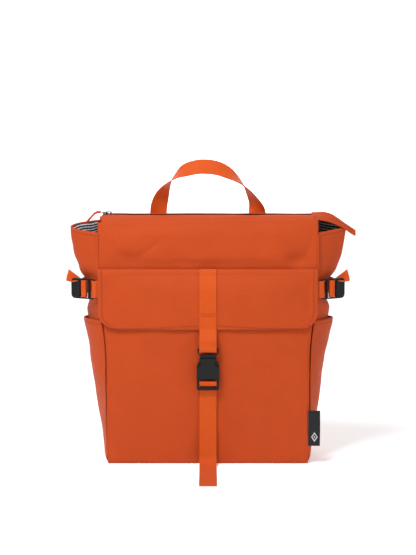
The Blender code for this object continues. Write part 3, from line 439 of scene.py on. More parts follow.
for side, word in ((-1, "left"), (1, "right")):
    U, V = grid(48, 110)
    across = U if side > 0 else 1.0 - U
    z = mix(SEAM_START, hem_height(across), V)
    wall = cloth(f"gusset_cloth_{word}", gusset_face(across, z, side), CLOTH, orange, "t")
    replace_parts(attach(wall, "bag"), f"gusset_{word}")

U, V = grid(60, 24)
x, y = mix(-0.1468, 0.1468, U), mix(0.0538, -0.0538, V)
under = cloth("base_cloth", np.stack([x, y, 0.0 * x], -1), 0.0014, orange, "lrbt")
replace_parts(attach(under, "bag"), "base_panel")

# ---- The lining, the back foam and the stiffener
# Thin navy and white striped cloth, hung inside every wall; it shows where the sides stand open at the top. The foam
# lies between the back panel and its lining, and a board stiffens the base.

striped, tree, shader = material_tree("striped_lining")
place = add(tree, "ShaderNodeTexCoord")
parts = add(tree, "ShaderNodeSeparateXYZ", {"Vector": place.outputs["UV"]})
wander = add(tree, "ShaderNodeTexNoise", {"Vector": place.outputs["Object"], "Scale": 40.0})
stripe = remap(tree, phase(tree, parts.outputs["Y"], 0.0040), 0.05, 0.45)
column = remap(tree, phase(tree, parts.outputs["X"], 0.0060), -0.9, -0.6, 0.70)
dye = colours(tree, maths(tree, "MULTIPLY", stripe, column), (0.012, 0.014, 0.030), (0.86, 0.86, 0.90))
tree.links.new(dye, shader.inputs["Base Color"])
shader.inputs["Roughness"].default_value = 0.75
emboss(tree, maths(tree, "MULTIPLY", wander.outputs["Fac"], 0.0010))

LINING = 0.0007
U, V = grid(70, 80)
z = mix(0.0022, HEIGHT - 0.004, V)
x = (2 * U - 1) * (half_width(z) - 0.005)
y = front_line(x, z) + CLOTH + 0.0006
z = z - sag(x) * smooth(z, 0.290, HEIGHT)
lining = cloth("lining_cloth_front", np.stack([x, y, z], -1), LINING, striped, "t")
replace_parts(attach(lining, "bag"), "lining_front")
x = (1 - 2 * U) * (half_width(z) - 0.014)
y = back_y(z) - 0.0015 - 0.0060 - 0.0012 - 0.0008 * slack(x, z, 0.06, 2.0) ** 2
lining = cloth("lining_cloth_back", np.stack([x, y, z], -1), LINING, striped, "t")
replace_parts(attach(lining, "bag"), "lining_back")
for side, word in ((-1, "left"), (1, "right")):
    U, V = grid(40, 90)
    across = mix(0.03, 0.97, U if side > 0 else 1.0 - U)
    z = mix(0.0022, hem_height(across) - 0.0015, V)
    P = gusset_face(across, z, side)
    lining = cloth(f"lining_cloth_{word}", P - normals(P) * (CLOTH + 0.0009), LINING, striped, "t")
    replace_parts(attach(lining, "bag"), f"lining_{word}")



def speckled(name, dark, light, rough, scale, kind="Noise", **detail):
    """A material whose colour wanders between dark and light, with its tree, its shader and the wandering value."""
    made, tree, shader = material_tree(name)
    place = add(tree, "ShaderNodeTexCoord")
    texture = add(tree, f"ShaderNodeTex{kind}", {"Vector": place.outputs["Object"], "Scale": scale, **detail})
    value = texture.outputs["Fac" if kind == "Noise" else "Distance"]
    tree.links.new(colours(tree, value, dark, light), shader.inputs["Base Color"])
    shader.inputs["Roughness"].default_value = rough
    return made, tree, shader, value


foam = speckled("foam_grey", (0.16, 0.16, 0.16), (0.30, 0.30, 0.30), 0.95, 900.0, "Voronoi")[0]
for name, material in (("back_foam", foam), ("base_board", foam), ("lining_base", striped)):
    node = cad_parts[name]
    node.data.materials.clear()
    node.data.materials.append(material)

# ---- The zip
# Two folded strips of the bag's cloth close the top between the walls, with a woven tape and a nylon coil between
# them, a dark metal slider, and a short cord of folded cloth tied to its pull.

ZIP_HEIGHT = HEIGHT + 0.0030
ZIP_HALF = 0.156  # half of the strips' length
strip_top = ZIP_HEIGHT + 0.0007 + CLOTH + 0.0005
for side, word in ((-1, "front"), (1, "back")):
    U, V = grid(110, 22)
    wall = front_y(HEIGHT) + CLOTH + 0.0005 if side < 0 else back_y(HEIGHT) - 0.0020
    run = 2 * U - 1
    x = run * ZIP_HALF * -side
    edge_wave = 0.0007 * slack(x, 0 * x, 0.055, 1.0 + side) * V
    y = mix(wall, side * 0.0060, V) + edge_wave * 0.5
    arch = 0.0013 * np.sin(np.pi * V) * (1 + 0.5 * slack(x, V * 0.02, 0.07, 2.0 + side))
    z = mix(HEIGHT - 0.0005, strip_top + 0.0005 * side, smooth(V, -0.2, 1.0)) + arch
    z = z + edge_wave * 0.3 - sag(x, side) * (1 - V)
    strip = cloth(f"zip_strip_{word}", np.stack([x, y, z], -1), CLOTH, orange, "t")
    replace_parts(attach(strip, "bag"), f"zip_panel_{word}")

tape_cloth = fabric("zip_tape_cloth", (0.10, 0.016, 0.009), (0.08, 0.02, 0.01), 0.0008, 0.0016, 0.0015, 0.75)
for side, word in ((-1, "front"), (1, "back")):
    U, V = grid(80, 6)
    x = (2 * U - 1) * ZIP_HALF * -side
    y = mix(side * 0.0095, side * 0.0027, V)
    z = ZIP_HEIGHT - 0.0002 + 0.0001 * slack(x, y, 0.03, 0.4)
    tape = cloth(f"zip_tape_cloth_{word}", np.stack([x, y, z], -1), 0.0006, tape_cloth, "t")
    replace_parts(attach(tape, "bag"), f"zip_tape_{word}")

coil_nylon = speckled("coil_nylon", (0.030, 0.010, 0.008), (0.055, 0.014, 0.010), 0.38, 300.0)[0]


def tube(name, centre, first, second, section, material):
    """A closed skin round a path: each point of the section, (a, b) in metres, is carried along the path by its two
    side directions. The ends are capped. The UV map is metres round the section and metres along the path."""
    a, b = section[..., 0], section[..., 1]
    P = centre[:, None] + first[:, None] * a[..., None] + second[:, None] * b[..., None]
    m, n = P.shape[:2]
    index = np.arange(m * n).reshape(m, n)
    around = np.roll(index, -1, axis=1)
    quads = np.stack([index[:-1], around[:-1], around[1:], index[1:]], -1).reshape(-1, 4).tolist()
    caps = [index[0, ::-1].tolist(), index[-1].tolist()]
    along = np.concatenate([[0], np.cumsum(np.linalg.norm(np.diff(centre, axis=0), axis=1))])
    along = np.repeat(along[:, None], n, 1)
    a = np.broadcast_to(a, (m, n))
    uv = np.stack([a, along], -1)
    return mesh_object(name, P, quads + caps, material, uv, hem=np.abs(a).max() - np.abs(a), run=along)


COIL = 0.3048  # the coil's length
TOOTH = 0.0015
s = np.arange(0, COIL, 0.0003)
angle = np.linspace(0, 2 * np.pi, 13)[:-1] + 0.1
tooth = 0.5 + 0.5 * np.cos(2 * np.pi * s[:, None] / TOOTH + np.where(np.cos(angle) > 0, 0.0, np.pi)[None])
ring = np.stack([0.0021 * np.cos(angle) * (1 + 0.06 * tooth), 0.0009 * np.sin(angle) * (0.85 + 0.35 * tooth)], -1)
path = np.stack([s - COIL / 2, 0 * s, 0 * s + ZIP_HEIGHT], -1)
backward, upward = (np.tile(way, (len(s), 1)) for way in ([0.0, 1.0, 0.0], [0.0, 0.0, 1.0]))
teeth = tube("zip_teeth", path, backward, upward, ring, coil_nylon)
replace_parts(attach(teeth, "bag"), "zip_coil")

dark_metal, tree, shader, scuff = speckled(
    "gunmetal", (0.022, 0.020, 0.018), (0.075, 0.070, 0.062), 0.4, 500.0, Detail=3.0
)
tree.links.new(remap(tree, scuff, 0.0, 1.0, 0.25, 0.5), shader.inputs["Roughness"])
shader.inputs["Metallic"].default_value = 1.0


def finish_node(name, material, bevel):
    """A CAD piece keeps its shape: it gets its material, and its edges are rounded by bevel metres."""
    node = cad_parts[name]
    node.data.materials.clear()
    node.data.materials.append(material)
    weld = node.modifiers.new("weld", "WELD")
    weld.merge_threshold = 1e-6
    edge = node.modifiers.new("edges", "BEVEL")
    edge.width = bevel
    edge.segments = 3
    edge.limit_method = "ANGLE"
    edge.angle_limit = math.radians(50)


for name in ("zip_slider_top", "zip_slider_bottom", "zip_stop_left", "zip_stop_right"):
    finish_node(name, dark_metal, 0.0004)
finish_node("zip_pull_tab", dark_metal, 0.0002)


def spline(points, step):
    """A smooth curve through the points (Catmull-Rom with chord lengths), read off at equal steps along it."""
    K = np.array(points, float)
    K = np.concatenate([[2 * K[0] - K[1]], K, [2 * K[-1] - K[-2]]])
    t = np.concatenate([[0], np.cumsum(np.sqrt(np.linalg.norm(np.diff(K[:, :3], axis=0), axis=1)) + 1e-9)])
    found = []
    for i in range(1, len(K) - 2):
        u = np.linspace(t[i], t[i + 1], 24, endpoint=False)[:, None]
        a1 = ((t[i] - u) * K[i - 1] + (u - t[i - 1]) * K[i]) / (t[i] - t[i - 1])
        a2 = ((t[i + 1] - u) * K[i] + (u - t[i]) * K[i + 1]) / (t[i + 1] - t[i])
        a3 = ((t[i + 2] - u) * K[i + 1] + (u - t[i + 1]) * K[i + 2]) / (t[i + 2] - t[i + 1])
        b1 = ((t[i + 1] - u) * a1 + (u - t[i - 1]) * a2) / (t[i + 1] - t[i - 1])
        b2 = ((t[i + 2] - u) * a2 + (u - t[i]) * a3) / (t[i + 2] - t[i])
        found.append(((t[i + 1] - u) * b1 + (u - t[i]) * b2) / (t[i + 1] - t[i]))
    fine = np.concatenate(found + [K[-2:-1]])
    along = np.concatenate([[0], np.cumsum(np.linalg.norm(np.diff(fine[:, :3], axis=0), axis=1))])
    at = np.linspace(0, along[-1], max(4, int(along[-1] / step) + 1))
    return np.stack([np.interp(at, along, fine[:, k]) for k in range(fine.shape[1])], -1)


def strap(name, route, across, width, thickness, material, step=0.0012, cut=0.0):
    """Flat webbing along a route: its section is a thin band with thick, rounded edges; across is its width direction,
    one for all the route or one for each of its points. cut slants its last end by that much of its width."""
    across = np.broadcast_to(np.array(across, float), (len(route), 3))
    both = spline(np.concatenate([np.array(route, float), across], 1), step)
    centre = both[:, :3]
    forward = hat(np.gradient(centre, axis=0))
    side = hat(both[:, 3:] - forward * np.sum(both[:, 3:] * forward, 1, keepdims=True))
    out = np.cross(forward, side)
    side = side + forward * cut * smooth(np.arange(len(side)), len(side) - 10, len(side) - 1)[:, None]
    w, t = width / 2, thickness / 2
    upper = [(-w, 0.30), (-w + 0.30 * t, 0.78), (-w + 0.0009, 1.0), (-w + 0.0022, 0.88), (-w * 0.4, 0.84)]
    upper += [(w * 0.4, 0.84), (w - 0.0022, 0.88), (w - 0.0009, 1.0), (w - 0.30 * t, 0.78), (w, 0.30)]
    if width < 0.012:
        upper = [(-w, 0.2), (-w * 0.85, 0.75), (-w * 0.4, 1.0), (w * 0.4, 1.0), (w * 0.85, 0.75), (w, 0.2)]
    section = np.array([(a, b * t) for a, b in upper] + [(a, -b * t) for a, b in reversed(upper)])
    # Reversed, so that the skin faces outwards
    return tube(name, centre, side, out, section[::-1], material)


web = fabric(
    "orange_webbing", (0.61, 0.079, 0.006), (0.74, 0.11, 0.02), 0.0011, 0.0016, offset=0.5,
    rough=0.60, sheen=0.10, weave_height=0.00016, uneven=0.05,
)
low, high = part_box("zip_pull_tab")
tip = np.array([low.x - 0.0008, 0.0, high.z - 0.0010])
red_web = fabric("ribbon_cloth", (0.62, 0.040, 0.014), (0.6, 0.05, 0.02), 0.0006, 0.0006, offset=0.5, rough=0.60)
hanging = [
    (0.0030, 0.0, -0.0002), (0.0, 0.0, 0.0), (-0.005, 0.0, -0.0016), (-0.011, 0.001, -0.0075),
    (-0.018, 0.0015, -0.0155),
]
ribbon = strap("pull_ribbon", [tip + step for step in hanging], (0.0, 1.0, 0.35), 0.0070, 0.0024, red_web)
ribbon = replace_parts(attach(ribbon, "pull"), "zip_pull_ribbon")
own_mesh(ribbon)

# ---- The zip's free end
# The two strips run on past the bag's side, folded to a ridge and narrowing, and droop over the gusset.

U, V = grid(28, 60)
half = mix(0.0200, 0.0050, smooth(V, -0.2, 1.0))
x = 0.1536 + 0.0655 * V - 0.002 * V * V
edges = 0.0075 * np.abs(2 * U - 1) * (1 - smooth(V, 0.15, 0.80))
z = 0.3655 - 0.034 * smooth(V, 0.12, 1.18) - edges - 0.0020 * (1 - U)
ridge = 0.0050 * (1 - np.abs(2 * U - 1)) ** 0.8 * smooth(V, 0.10, 0.5)
waves = 0.0010 * slack(U * 0.04, x, 0.035, 1.1) * smooth(V, 0.0, 0.3)
P = np.stack([x + 0 * U, 0.001 + (2 * U - 1) * half, z + ridge + waves], -1)
zip_end = cloth("zip_end_cloth", P, 0.0022, orange, "lrt")
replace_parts(zip_end, "zip_tail")
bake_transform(zip_end)

# ---- The front pocket
# One panel of cloth sewn along its sides and base, standing out from the bag in a shallow, even curve.


def pocket_depth(x, z):
    """How far the pocket stands out: 11 mm in the middle, falling to nothing at the sides as 1 - |x/147 mm| cubed,
    and growing up from the base as a quarter of a sine wave 220 mm high."""
    across = np.clip(1.0 - np.abs(x / 0.147) ** 3, 0.0, 1.0)
    return 0.0015 + 0.011 * across * np.sin(np.pi / 2 * np.clip(z / 0.220, 0.0, 1.0))


def pocket_line(x, z):
    """The pocket's outer face, with waves up to 1 mm that die away at its seams and under the middle strap."""
    edge = np.clip(1.0 - np.abs(x) / half_width(z), 0, 1)
    calm = smooth(edge, 0.0, 0.2) * smooth(z, 0.0, 0.05) * smooth(np.abs(x), 0.020, 0.050)
    return front_y(z) - pocket_depth(x, z) + 0.0011 * slack(x, z, 0.120, 2.2) * calm


U, V = grid(100, 90)
z = mix(0.0022, 0.252, V)
x = (2 * U - 1) * (half_width(z) - 0.0005)
pocket = cloth("pocket_cloth", np.stack([x, pocket_line(x, z), z], -1), CLOTH, orange, "t")
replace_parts(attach(pocket, "bag"), "pocket_panel")

# The seams down both sides and along the base: the panels' edges rolled together into a narrow ridge


def roll(name, path):
    """A sewn edge: a rolled band of cloth 2.6 mm wide along a path, seven tenths as thick, uneven by a twelfth."""
    path = spline(path, 0.0025)
    forward = hat(np.gradient(path, axis=0))
    level = abs(forward[0, 2]) < 0.7
    side = hat(np.cross(forward, np.tile([0.0, float(not level), float(level)], (len(forward), 1))))
    out = np.cross(forward, side)
    turn = np.linspace(0, 2 * np.pi, 11)[:-1]
    size = 0.0013 * (1 + 0.08 * np.sin(np.arange(len(path)) * 0.9)[:, None])
    section = np.stack([np.cos(turn)[None] * size, np.sin(turn)[None] * size * 0.7], -1)
    return tube(name, path, side, out, section, orange)


for side, word in ((-1, "left"), (1, "right")):
    for panel, line, top, off in (("front", front_y, 0.336, -0.0002), ("back", back_y, 0.352, 0.0002)):
        heights = np.linspace(0.003, top, 24)
        edge = [(side * (half_width(h) + 0.0003), line(h) + off, h) for h in heights]
        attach(roll(f"{panel}_seam_{word}", edge), "bag")
for side, word in ((-1, "front"), (1, "back")):
    edge = [(a, side * 0.0538, 0.0016) for a in np.linspace(-0.146, 0.146, 20)]
    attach(roll(f"base_seam_{word}", edge), "bag")

# ---- The flap
# A doubled piece of cloth with rounded lower corners, sewn along its top edge and stitched round its other edges.

FLAP_CLOTH = 0.0022
FLAP_HEM = 0.200
FLAP_BEND = 0.2790  # the flap curls in to its seam above this
CURL = 0.0074  # by a quarter turn of this radius
CORNER = 0.025


def flap_inside(x, z):
    """The flap's inner face: 1 mm off the pocket, turning in above 255 mm to 5.5 mm off the front panel at its seam."""
    lying = front_y(z) - pocket_depth(x, z) - 0.0010
    return mix(lying, front_y(z) - 0.0055, smooth(z, 0.255, 0.284))


def flap_face(x, z):
    """The flap's outer face, with slow waves of 0.8 mm and a lift of 1.5 mm towards its free corners."""
    calm = smooth(np.abs(x), 0.018, 0.050) * smooth(0.284 - z, 0.0, 0.020)
    lift = 0.0016 * smooth(np.abs(x), 0.09, 0.16) * smooth(0.235 - z, 0.0, 0.035)
    return flap_inside(x, z) - FLAP_CLOTH - lift - 0.0008 * (1.0 + slack(x, z, 0.100, 4.1)) * calm


U, V = grid(110, 60)
lower = np.clip(V / 0.86, 0, 1)
curl = np.clip((V - 0.86) / 0.14, 0, 1) * np.pi / 2
z = mix(FLAP_HEM, FLAP_BEND, lower) + CURL * np.sin(curl)
drop = np.clip(CORNER - (np.minimum(z, FLAP_BEND) - FLAP_HEM), 0, None)
rounding = CORNER - np.sqrt(np.clip(CORNER ** 2 - drop ** 2, 0, None))
x = (2 * U - 1) * (0.160 - rounding)
y = flap_face(x, np.minimum(z, FLAP_BEND))
y = mix(y, front_y(z) - 0.0028, 1 - np.cos(curl))
P = np.stack([x, y, z], -1)
flap = cloth("flap_cloth", P, FLAP_CLOTH, orange, "lrb")
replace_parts(flap, "flap_panel", "flap_seam")
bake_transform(flap)

# ---- The flap's webbing and the buckle
# Orange 25 mm webbing sewn down the flap and looped through the plug of a black side-release buckle. The socket rides
# on the webbing from the base seam, whose free end hangs down in front and turns out along the floor.

black, tree, shader, grain = speckled(
    "black_acetal", (0.008, 0.008, 0.009), (0.016, 0.016, 0.018), 0.34, 1400.0, Detail=2.0
)
shader.inputs["Specular IOR Level"].default_value = 0.16
emboss(tree, maths(tree, "MULTIPLY", grain, 0.00004))
for name in ("buckle_plug", "buckle_socket"):
    finish_node(name, black, 0.0007)
for name in ("buckle_prong_left", "buckle_prong_right"):
    finish_node(name, black, 0.0004)

WEB_WIDTH = 0.025
WEB = 0.0014
thread = fabric("sewing_thread", (0.52, 0.070, 0.014), (0.3, 0.04, 0.01), 0.0006, 0.0006, offset=0.5, rough=0.7)


def millimetres(*points, x=None, z=None):
    """A route given in millimetres; with x or z the points are pairs, and all of them have that x or z."""
    route = np.array(points, float)
    if x is not None:
        route = np.insert(route, 0, x, axis=1)
    if z is not None:
        route = np.insert(route, 2, z, axis=1)
    return route / 1000


def stitches(name, route):
    """A row of thick thread lying on the cloth, 1.1 mm wide, its stitches 2.4 mm long with a dip between them."""
    path = spline(route, 0.0004)
    forward = hat(np.gradient(path, axis=0))
    side = hat(np.cross(np.tile([0.0, -1.0, 0.0], (len(path), 1)), forward))
    out = np.cross(forward, side)
    turn = np.linspace(0, 2 * np.pi, 9)[:-1]
    along = np.arange(len(path)) * 0.0004
    size = 0.00042 * (0.45 + 0.55 * np.abs(np.sin(np.pi * along / 0.0024)) ** 0.4)[:, None]
    section = np.stack([np.cos(turn)[None] * size, np.sin(turn)[None] * size], -1)
    return tube(name, path, side, out, section, thread)


def face(height):
    """The flap's outer face at that height on its middle line."""
    return float(flap_face(np.array(0.0), np.array(height)))


turning = np.radians([62.0, 42.0, 20.0])
tucked = mix(face(FLAP_BEND), float(front_y(FLAP_BEND)) - 0.0028, 1 - np.cos(turning)) - 0.0008
down = [(0.0, a, FLAP_BEND + CURL * math.sin(b) + 0.0006) for a, b in zip(tucked, turning)]
down += [(0.0, face(h) - 0.0011, h) for h in np.linspace(0.2780, 0.2010, 12)]
hang = millimetres(
    (-61.7, 195.5), (-69.0, 186), (-68.4, 178), (-68.4, 169.6), (-68.1, 168.7), (-66.2, 168.4),
    (-63, 168.4), (-61.1, 168.7), (-60.8, 169.6), (-60.8, 176), (-63, 184), (-64.8, 191), x=0,
)
flap_web = strap("flap_webbing", np.concatenate([down, hang]), (1.0, 0.0, 0.0), WEB_WIDTH, WEB, web)
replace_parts(flap_web, "flap_strap")
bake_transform(flap_web)
for number, height in enumerate((0.2235, 0.2200)):
    row = [(a, face(height) - 0.0019, height) for a in (-0.0112, -0.004, 0.004, 0.0112)]
    sewn = stitches(f"flap_webbing_stitches_{number}", row)
    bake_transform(sewn)

loop = millimetres(
    (-59.8, 99.8), (-59.8, 116.4), (-59.8, 120.4), (-60.1, 123), (-61.9, 124.9), (-63.5, 125.2),
    (-65.7, 125.2), (-67.3, 124.9), (-67.6, 124), (-67.6, 120.4), (-67.3, 119.5), (-65.7, 119.2),
    (-63.5, 119.2), (-61.9, 119.5), (-61.6, 117.4), (-61.6, 113.4), (-61.6, 99.8), x=0,
)
ladder_web = strap("ladder_webbing", loop, (1.0, 0.0, 0.0), WEB_WIDTH, WEB, web, 0.0008)
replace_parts(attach(ladder_web, "socket"), "adjuster_loop")
lower = millimetres(
    (-60.1, 102), (-60, 80), (-59.8, 60), (-59.8, 42), (-59.8, 26), (-59.6, 14), (-57.2, 4), x=0,
)
lower_web = strap("lower_webbing", lower, (1.0, 0.0, 0.0), WEB_WIDTH, WEB, web)
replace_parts(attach(lower_web, "bag"), "lower_strap")
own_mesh(lower_web)
hem_end = millimetres(
    (-61.9, 102), (-61.8, 80), (-61.6, 60), (-61.6, 42), (-63.6, 24), (-67.6, 10.5), (-77.6, 2.6),
    (-91.6, 1.1), (-121.6, 1), (-156.6, 1), (-183.6, 1), x=0,
)
tail_web = strap("tail_webbing", hem_end, (1.0, 0.0, 0.0), WEB_WIDTH, WEB, web)
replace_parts(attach(tail_web, "bag"), "strap_tail")
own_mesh(tail_web)

# ---- The side pockets
# One piece of cloth over the lower part of each gusset, sewn in at both seams and the base, its top edge turned over
# and stitched.

for side, word in ((-1, "left"), (1, "right")):
    U, V = grid(50, 70)
    across = mix(U if side > 0 else 1.0 - U, 0.5, 0.05)
    z = mix(0.0026, 0.210, V)
    P = gusset_face(across, z, side, stand=0.0045 * smooth(z, 0.0, 0.210))
    gap = 0.0019 + 0.0008 * (1 + slack(across * 0.12, z, 0.075, 3.0 + side)) * smooth(z, 0.02, 0.12)
    pocket_wall = cloth(f"side_pocket_cloth_{word}", P + normals(P) * gap[..., None], CLOTH, orange, "t")
    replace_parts(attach(pocket_wall, "bag"), f"side_pocket_{word}")

# ---- The side straps and their locks
# At each side a short sewn loop holds a black ladder lock beside the front seam. The webbing comes round the gusset
# from the back seam, goes through the lock, and its free end stands off behind it.

LOOP = millimetres(
    (-160.7, -37.7), (-162.5, -37.6), (-164.5, -38), (-168.9, -35.6), (-169.5, -34.9), (-169.1, -33.4),
    (-168.1, -31.6), (-167.1, -30.4), (-166.2, -30.5), (-161.7, -32.9), (-160.9, -34.7), (-159.9, -36.2), z=256,
)
LOAD = millimetres(
    (-162.3, 36.6), (-171.1, 26.1), (-182.8, 15), (-186.8, 0), (-188.3, -10), (-192.3, -14.6), (-185.3, -18.3),
    (-181.7, -20.2), (-178.7, -22.2), (-177.9, -24.6), (-178.3, -26.2), (-179.3, -28), (-180.3, -29.2),
    (-181.2, -29.1), z=256,
)
FREE = millimetres(
    (-185.3, -26.9, 256), (-185.9, -26.2, 256), (-185.5, -24.7, 256), (-184.5, -22.9, 256), (-183.5, -21.7, 256),
    (-185.2, -20.4, 256), (-188.8, -18.7, 256), (-193.5, -16.2, 257), (-196.5, -12.5, 261.5), (-197.2, -9, 267.5),
    (-195.6, -6.5, 274.5),
)
for side, word in ((-1, "left"), (1, "right")):
    finish_node(f"side_lock_{word}", black, 0.0007)
    turned = np.array([-side, 1.0, 1.0])
    facing = np.array([0.0, 0.0, 1.0])
    sewn = strap(f"side_loop_webbing_{word}", LOOP * turned, facing, WEB_WIDTH, WEB, web, 0.0008)
    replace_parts(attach(sewn, f"side_adjuster_{word}"), f"side_loop_{word}")
    through = np.concatenate([LOAD, FREE[:1]]) * turned
    load = strap(f"side_load_webbing_{word}", through, facing, WEB_WIDTH, WEB, web, 0.0009)
    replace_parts(load, f"side_strap_{word}")
    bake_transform(load)
    leaning = np.tile(facing, (len(FREE), 1))
    leaning[-4:] = [(0.0, 0.0, 1.0), (side * 0.35, 0.10, 0.93), (side * 0.85, 0.15, 0.50), (side * 0.93, 0.15, 0.25)]
    free = strap(f"side_free_webbing_{word}", FREE * turned, leaning, WEB_WIDTH, WEB, web, 0.0009, 0.45)
    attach(free, f"side_adjuster_{word}")

# ---- The handle
# One length of the webbing, sewn flat to the back panel at both ends; it rises facing the front, turns on edge and
# crosses over the top with its outer face up.

route = millimetres(
    (-74.5, 31.6, 322), (-74.5, 29.6, 340), (-74.4, 27.9, 352), (-74.2, 27, 360), (-73, 26.8, 374), (-68, 26.8, 390),
    (-60, 26.8, 404.5), (-50.5, 26.8, 415.5), (-35, 26.8, 426), (-18, 26.8, 431.2), (-3, 26.8, 432),
    (14, 26.8, 429.6), (32, 26.8, 421.5), (50.5, 26.8, 407), (61, 26.8, 393.5), (70, 26.8, 377), (74, 27, 361),
    (74.4, 27.9, 352), (74.5, 29.6, 340), (74.5, 31.6, 322),
)
way = [(1, 0, 0)] * 4 + [(0.97, 0.22, 0.08), (0.82, 0.52, 0.22), (0.50, 0.84, 0.22), (0.05, 0.98, 0.20)]
way += [(0.0, 0.70, 0.71), (0, 0.58, 0.81), (0, 0.56, 0.83), (0, 0.60, 0.80), (-0.04, 0.74, 0.67)]
way += [(-0.08, 0.98, 0.20), (-0.45, 0.88, 0.15), (-0.75, 0.64, 0.15)] + [(-1, 0, 0)] * 4
grab = strap("handle_webbing", route, way, WEB_WIDTH, WEB, web)
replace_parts(grab, "handle", "handle_end_left", "handle_end_right")
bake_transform(grab)
for side, word in ((-1, "left"), (1, "right")):
    crossing = [[(b, h) for b in (-0.010, -0.003, 0.003, 0.010)] for h in (0.325, 0.349)]
    rising = [[(b, h) for h in (0.325, 0.333, 0.341, 0.349)] for b in (-0.010, 0.010)]
    for number, row in enumerate(crossing + rising):
        box_row = [(side * 0.0745 + b, float(back_y(h)) + 0.0029, h) for b, h in row]
        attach(stitches(f"handle_stitches_{word}_{number}", box_row), "bag")

# ---- The back panel
# The same cloth over foam, quilted by sewn channels that run across it.


def back_face(x, z):
    """The padded back: its leaning line, crowned 3 mm between sewn channels 58 mm apart and falling to nothing at its
    edges."""
    edge = smooth(0.126 - np.abs(x), 0.0, 0.018) * smooth(z, 0.006, 0.030) * smooth(0.350 - z, 0.0, 0.020)
    crown = np.abs(np.sin(np.pi * (z - 0.020) / 0.058)) ** 0.55
    return back_y(z) + (0.0008 + 0.0024 * crown) * edge + 0.0005 * slack(x, z, 0.090, 5.0) * edge


U, V = grid(90, 140)
z = mix(SEAM_START, HEIGHT, V)
x = (1 - 2 * U) * half_width(z)
back_cloth = cloth("back_cloth", np.stack([x, back_face(x, z), z], -1), 0.0014, orange, "t")
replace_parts(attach(back_cloth, "bag"), "back_panel")

# ---- The shoulder straps
# Each is a padded strap sewn across the top of the back, with a ladder lock at its lower end; webbing runs from the
# lock to a cloth tab at the base seam, and its free end hangs below the lock.


def strap_middle(t):
    """The strap's middle line for t from 0 at its top to 1 at the tab: down 300 mm, out from 46 to 128 mm as t to the
    1.5, and off the back by 16 mm falling to 7.5 mm with a bow of 30 mm between."""
    z = mix(0.330, 0.030, t)
    off = 0.016 * (1 - t) + 0.030 * np.sin(np.pi * np.minimum(1.0, t * 1.02)) ** 0.9 + 0.0075 * t
    return np.stack([mix(0.046, 0.128, t ** 1.5), back_y(z) + off, z], -1)


root = millimetres((46, 32.2, 349), (46, 34.2, 344.5), (46, 39.0, 337.5))
padding = np.concatenate([root, strap_middle(np.linspace(0.04, 0.595, 14))])
DOWN = strap_middle(np.array([0.985, 0.94, 0.88]))
THROUGH = millimetres(
    (102.3, 75.4, 94.1), (97.6, 78.1, 108.5), (95.1, 78.8, 116.1), (93.9, 79.1, 119.9), (92.8, 79.7, 123.3),
    (92.3, 81.6, 124.9), (92.2, 83.2, 125.1), (92.2, 85.2, 125), (92.4, 86.7, 124.6), (92.7, 87, 123.7),
    (94.1, 86.6, 119.4),
)
HANGS = millimetres(
    (94.1, 86.6, 119.4), (94.3, 86.2, 118.6), (94.4, 84.7, 118.4), (94.4, 82.6, 118.5), (94.2, 81.1, 118.9),
    (94.9, 80.6, 116.9), (96.1, 80.3, 113.2), (98, 79.8, 107.5), (101.7, 79, 93), (103.7, 80, 79),
    (106.7, 85, 49), (108.7, 86, 19),
)
RING = millimetres(
    (85.8, 86.7, 144.7), (86.3, 87.4, 143.1), (86.8, 88.5, 141.7), (88.3, 88.1, 137), (88.6, 87.7, 136.2),
    (88.7, 86.1, 136), (88.6, 84.1, 136.1), (88.5, 82.6, 136.6), (88.2, 82.3, 137.4), (86.7, 82.7, 142.2),
    (86.3, 84.1, 143.4), (85.8, 85, 144.8),
)
TAB = millimetres((132, 55.9, 4.5), (130, 56.8, 16), (128, 60.2, 27))
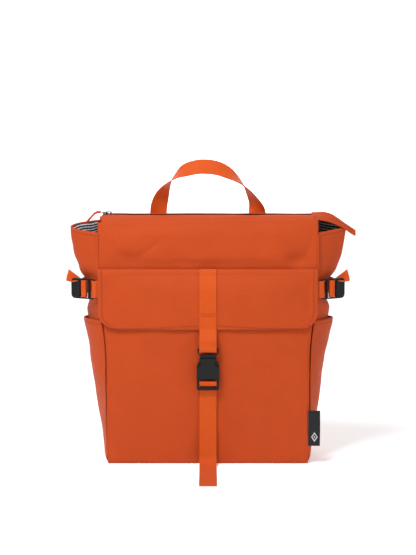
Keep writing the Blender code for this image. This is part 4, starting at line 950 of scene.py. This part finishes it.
for side, word in ((-1, "left"), (1, "right")):
    turned = np.array([side, 1.0, 1.0])
    centre = spline(padding * turned, 0.003)
    forward = hat(np.gradient(centre, axis=0))
    across = np.tile([1.0, 0.0, 0.0], (len(centre), 1))
    across = hat(across - forward * np.sum(across * forward, 1, keepdims=True))
    out = np.cross(forward, across)
    share = np.linspace(0, 1, len(centre))[:, None]
    wide = 0.027 * mix(1.0, 0.62, smooth(share, 0.72, 1.0)) * (1 - 0.10 * np.exp(-((share / 0.03) ** 2)))
    thick = 0.0045 * mix(0.35, 1.0, smooth(share, 0.0, 0.10)) * mix(1.0, 0.5, smooth(share, 0.95, 1.0))
    turn = np.linspace(0, 2 * np.pi, 37)[:-1]
    a = np.sign(np.cos(turn)) * np.abs(np.cos(turn)) ** 0.55 * wide
    b = np.sign(np.sin(turn)) * np.abs(np.sin(turn)) ** 0.85 * thick
    pad = tube(f"shoulder_padding_{word}", centre, across, out, np.stack([a, b], -1), orange)
    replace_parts(pad, f"shoulder_pad_{word}", f"shoulder_root_{word}")
    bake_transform(pad)
    finish_node(f"shoulder_lock_{word}", black, 0.0007)
    facing = np.array([side * 0.95, 0.0, 0.31])
    ring = strap(f"shoulder_ring_webbing_{word}", RING * turned, facing, WEB_WIDTH, WEB, web, 0.0008)
    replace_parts(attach(ring, f"shoulder_adjuster_{word}"), f"shoulder_loop_{word}")
    through = np.concatenate([DOWN, THROUGH]) * turned
    load = strap(f"shoulder_load_webbing_{word}", through, facing, WEB_WIDTH, WEB, web, 0.001)
    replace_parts(load, f"shoulder_webbing_{word}")
    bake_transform(load)
    free = strap(f"shoulder_free_webbing_{word}", HANGS * turned, facing, WEB_WIDTH, WEB, web, 0.001)
    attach(free, f"shoulder_adjuster_{word}")
    tab = strap(f"shoulder_tab_cloth_{word}", TAB * turned, (1.0, 0.0, 0.0), 0.030, 0.0024, orange)
    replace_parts(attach(tab, "bag"), f"shoulder_tab_{word}")

# ---- The label
# A black woven ribbon folded and sewn into the right-hand front seam, with a plain light diamond woven into it.

ribbon_black = fabric(
    "label_ribbon", (0.014, 0.013, 0.016), (0.05, 0.05, 0.05), 0.0005, 0.0010, offset=0.5, rough=0.62, sheen=0.25
)
tree = ribbon_black.node_tree
shader = tree.nodes["Principled BSDF"]
spot = add(tree, "ShaderNodeSeparateXYZ", {"Vector": add(tree, "ShaderNodeTexCoord").outputs["UV"]})
beside, above = (
    maths(tree, "DIVIDE", maths(tree, "ABSOLUTE", maths(tree, "SUBTRACT", spot.outputs[axis], middle)), size)
    for axis, middle, size in (("X", 0.0088, 0.0048), ("Y", 0.0130, 0.0075))
)
reach = maths(tree, "ADD", beside, above)
diamond = maths(tree, "MULTIPLY", maths(tree, "LESS_THAN", reach, 1.0), maths(tree, "GREATER_THAN", reach, 0.62))
kernel = maths(tree, "MAXIMUM", diamond, maths(tree, "LESS_THAN", reach, 0.24))
cloth_colour = shader.inputs["Base Color"].links[0].from_socket
tree.links.new(colours(tree, kernel, cloth_colour, (0.52, 0.52, 0.50)), shader.inputs["Base Color"])
U, V = grid(16, 40)
z = mix(0.027, 0.079, V)
x = 0.1475 + 0.0165 * U
y = front_y(0.027) - 0.0019 - 0.0012 * np.sin(np.pi * V) * U - 0.0010 * U + 0.0004 * np.sin(9 * V)
label = cloth("label_cloth", np.stack([x, y, z], -1), 0.0011, ribbon_black, "lrbt")
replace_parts(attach(label, "bag"), "label")
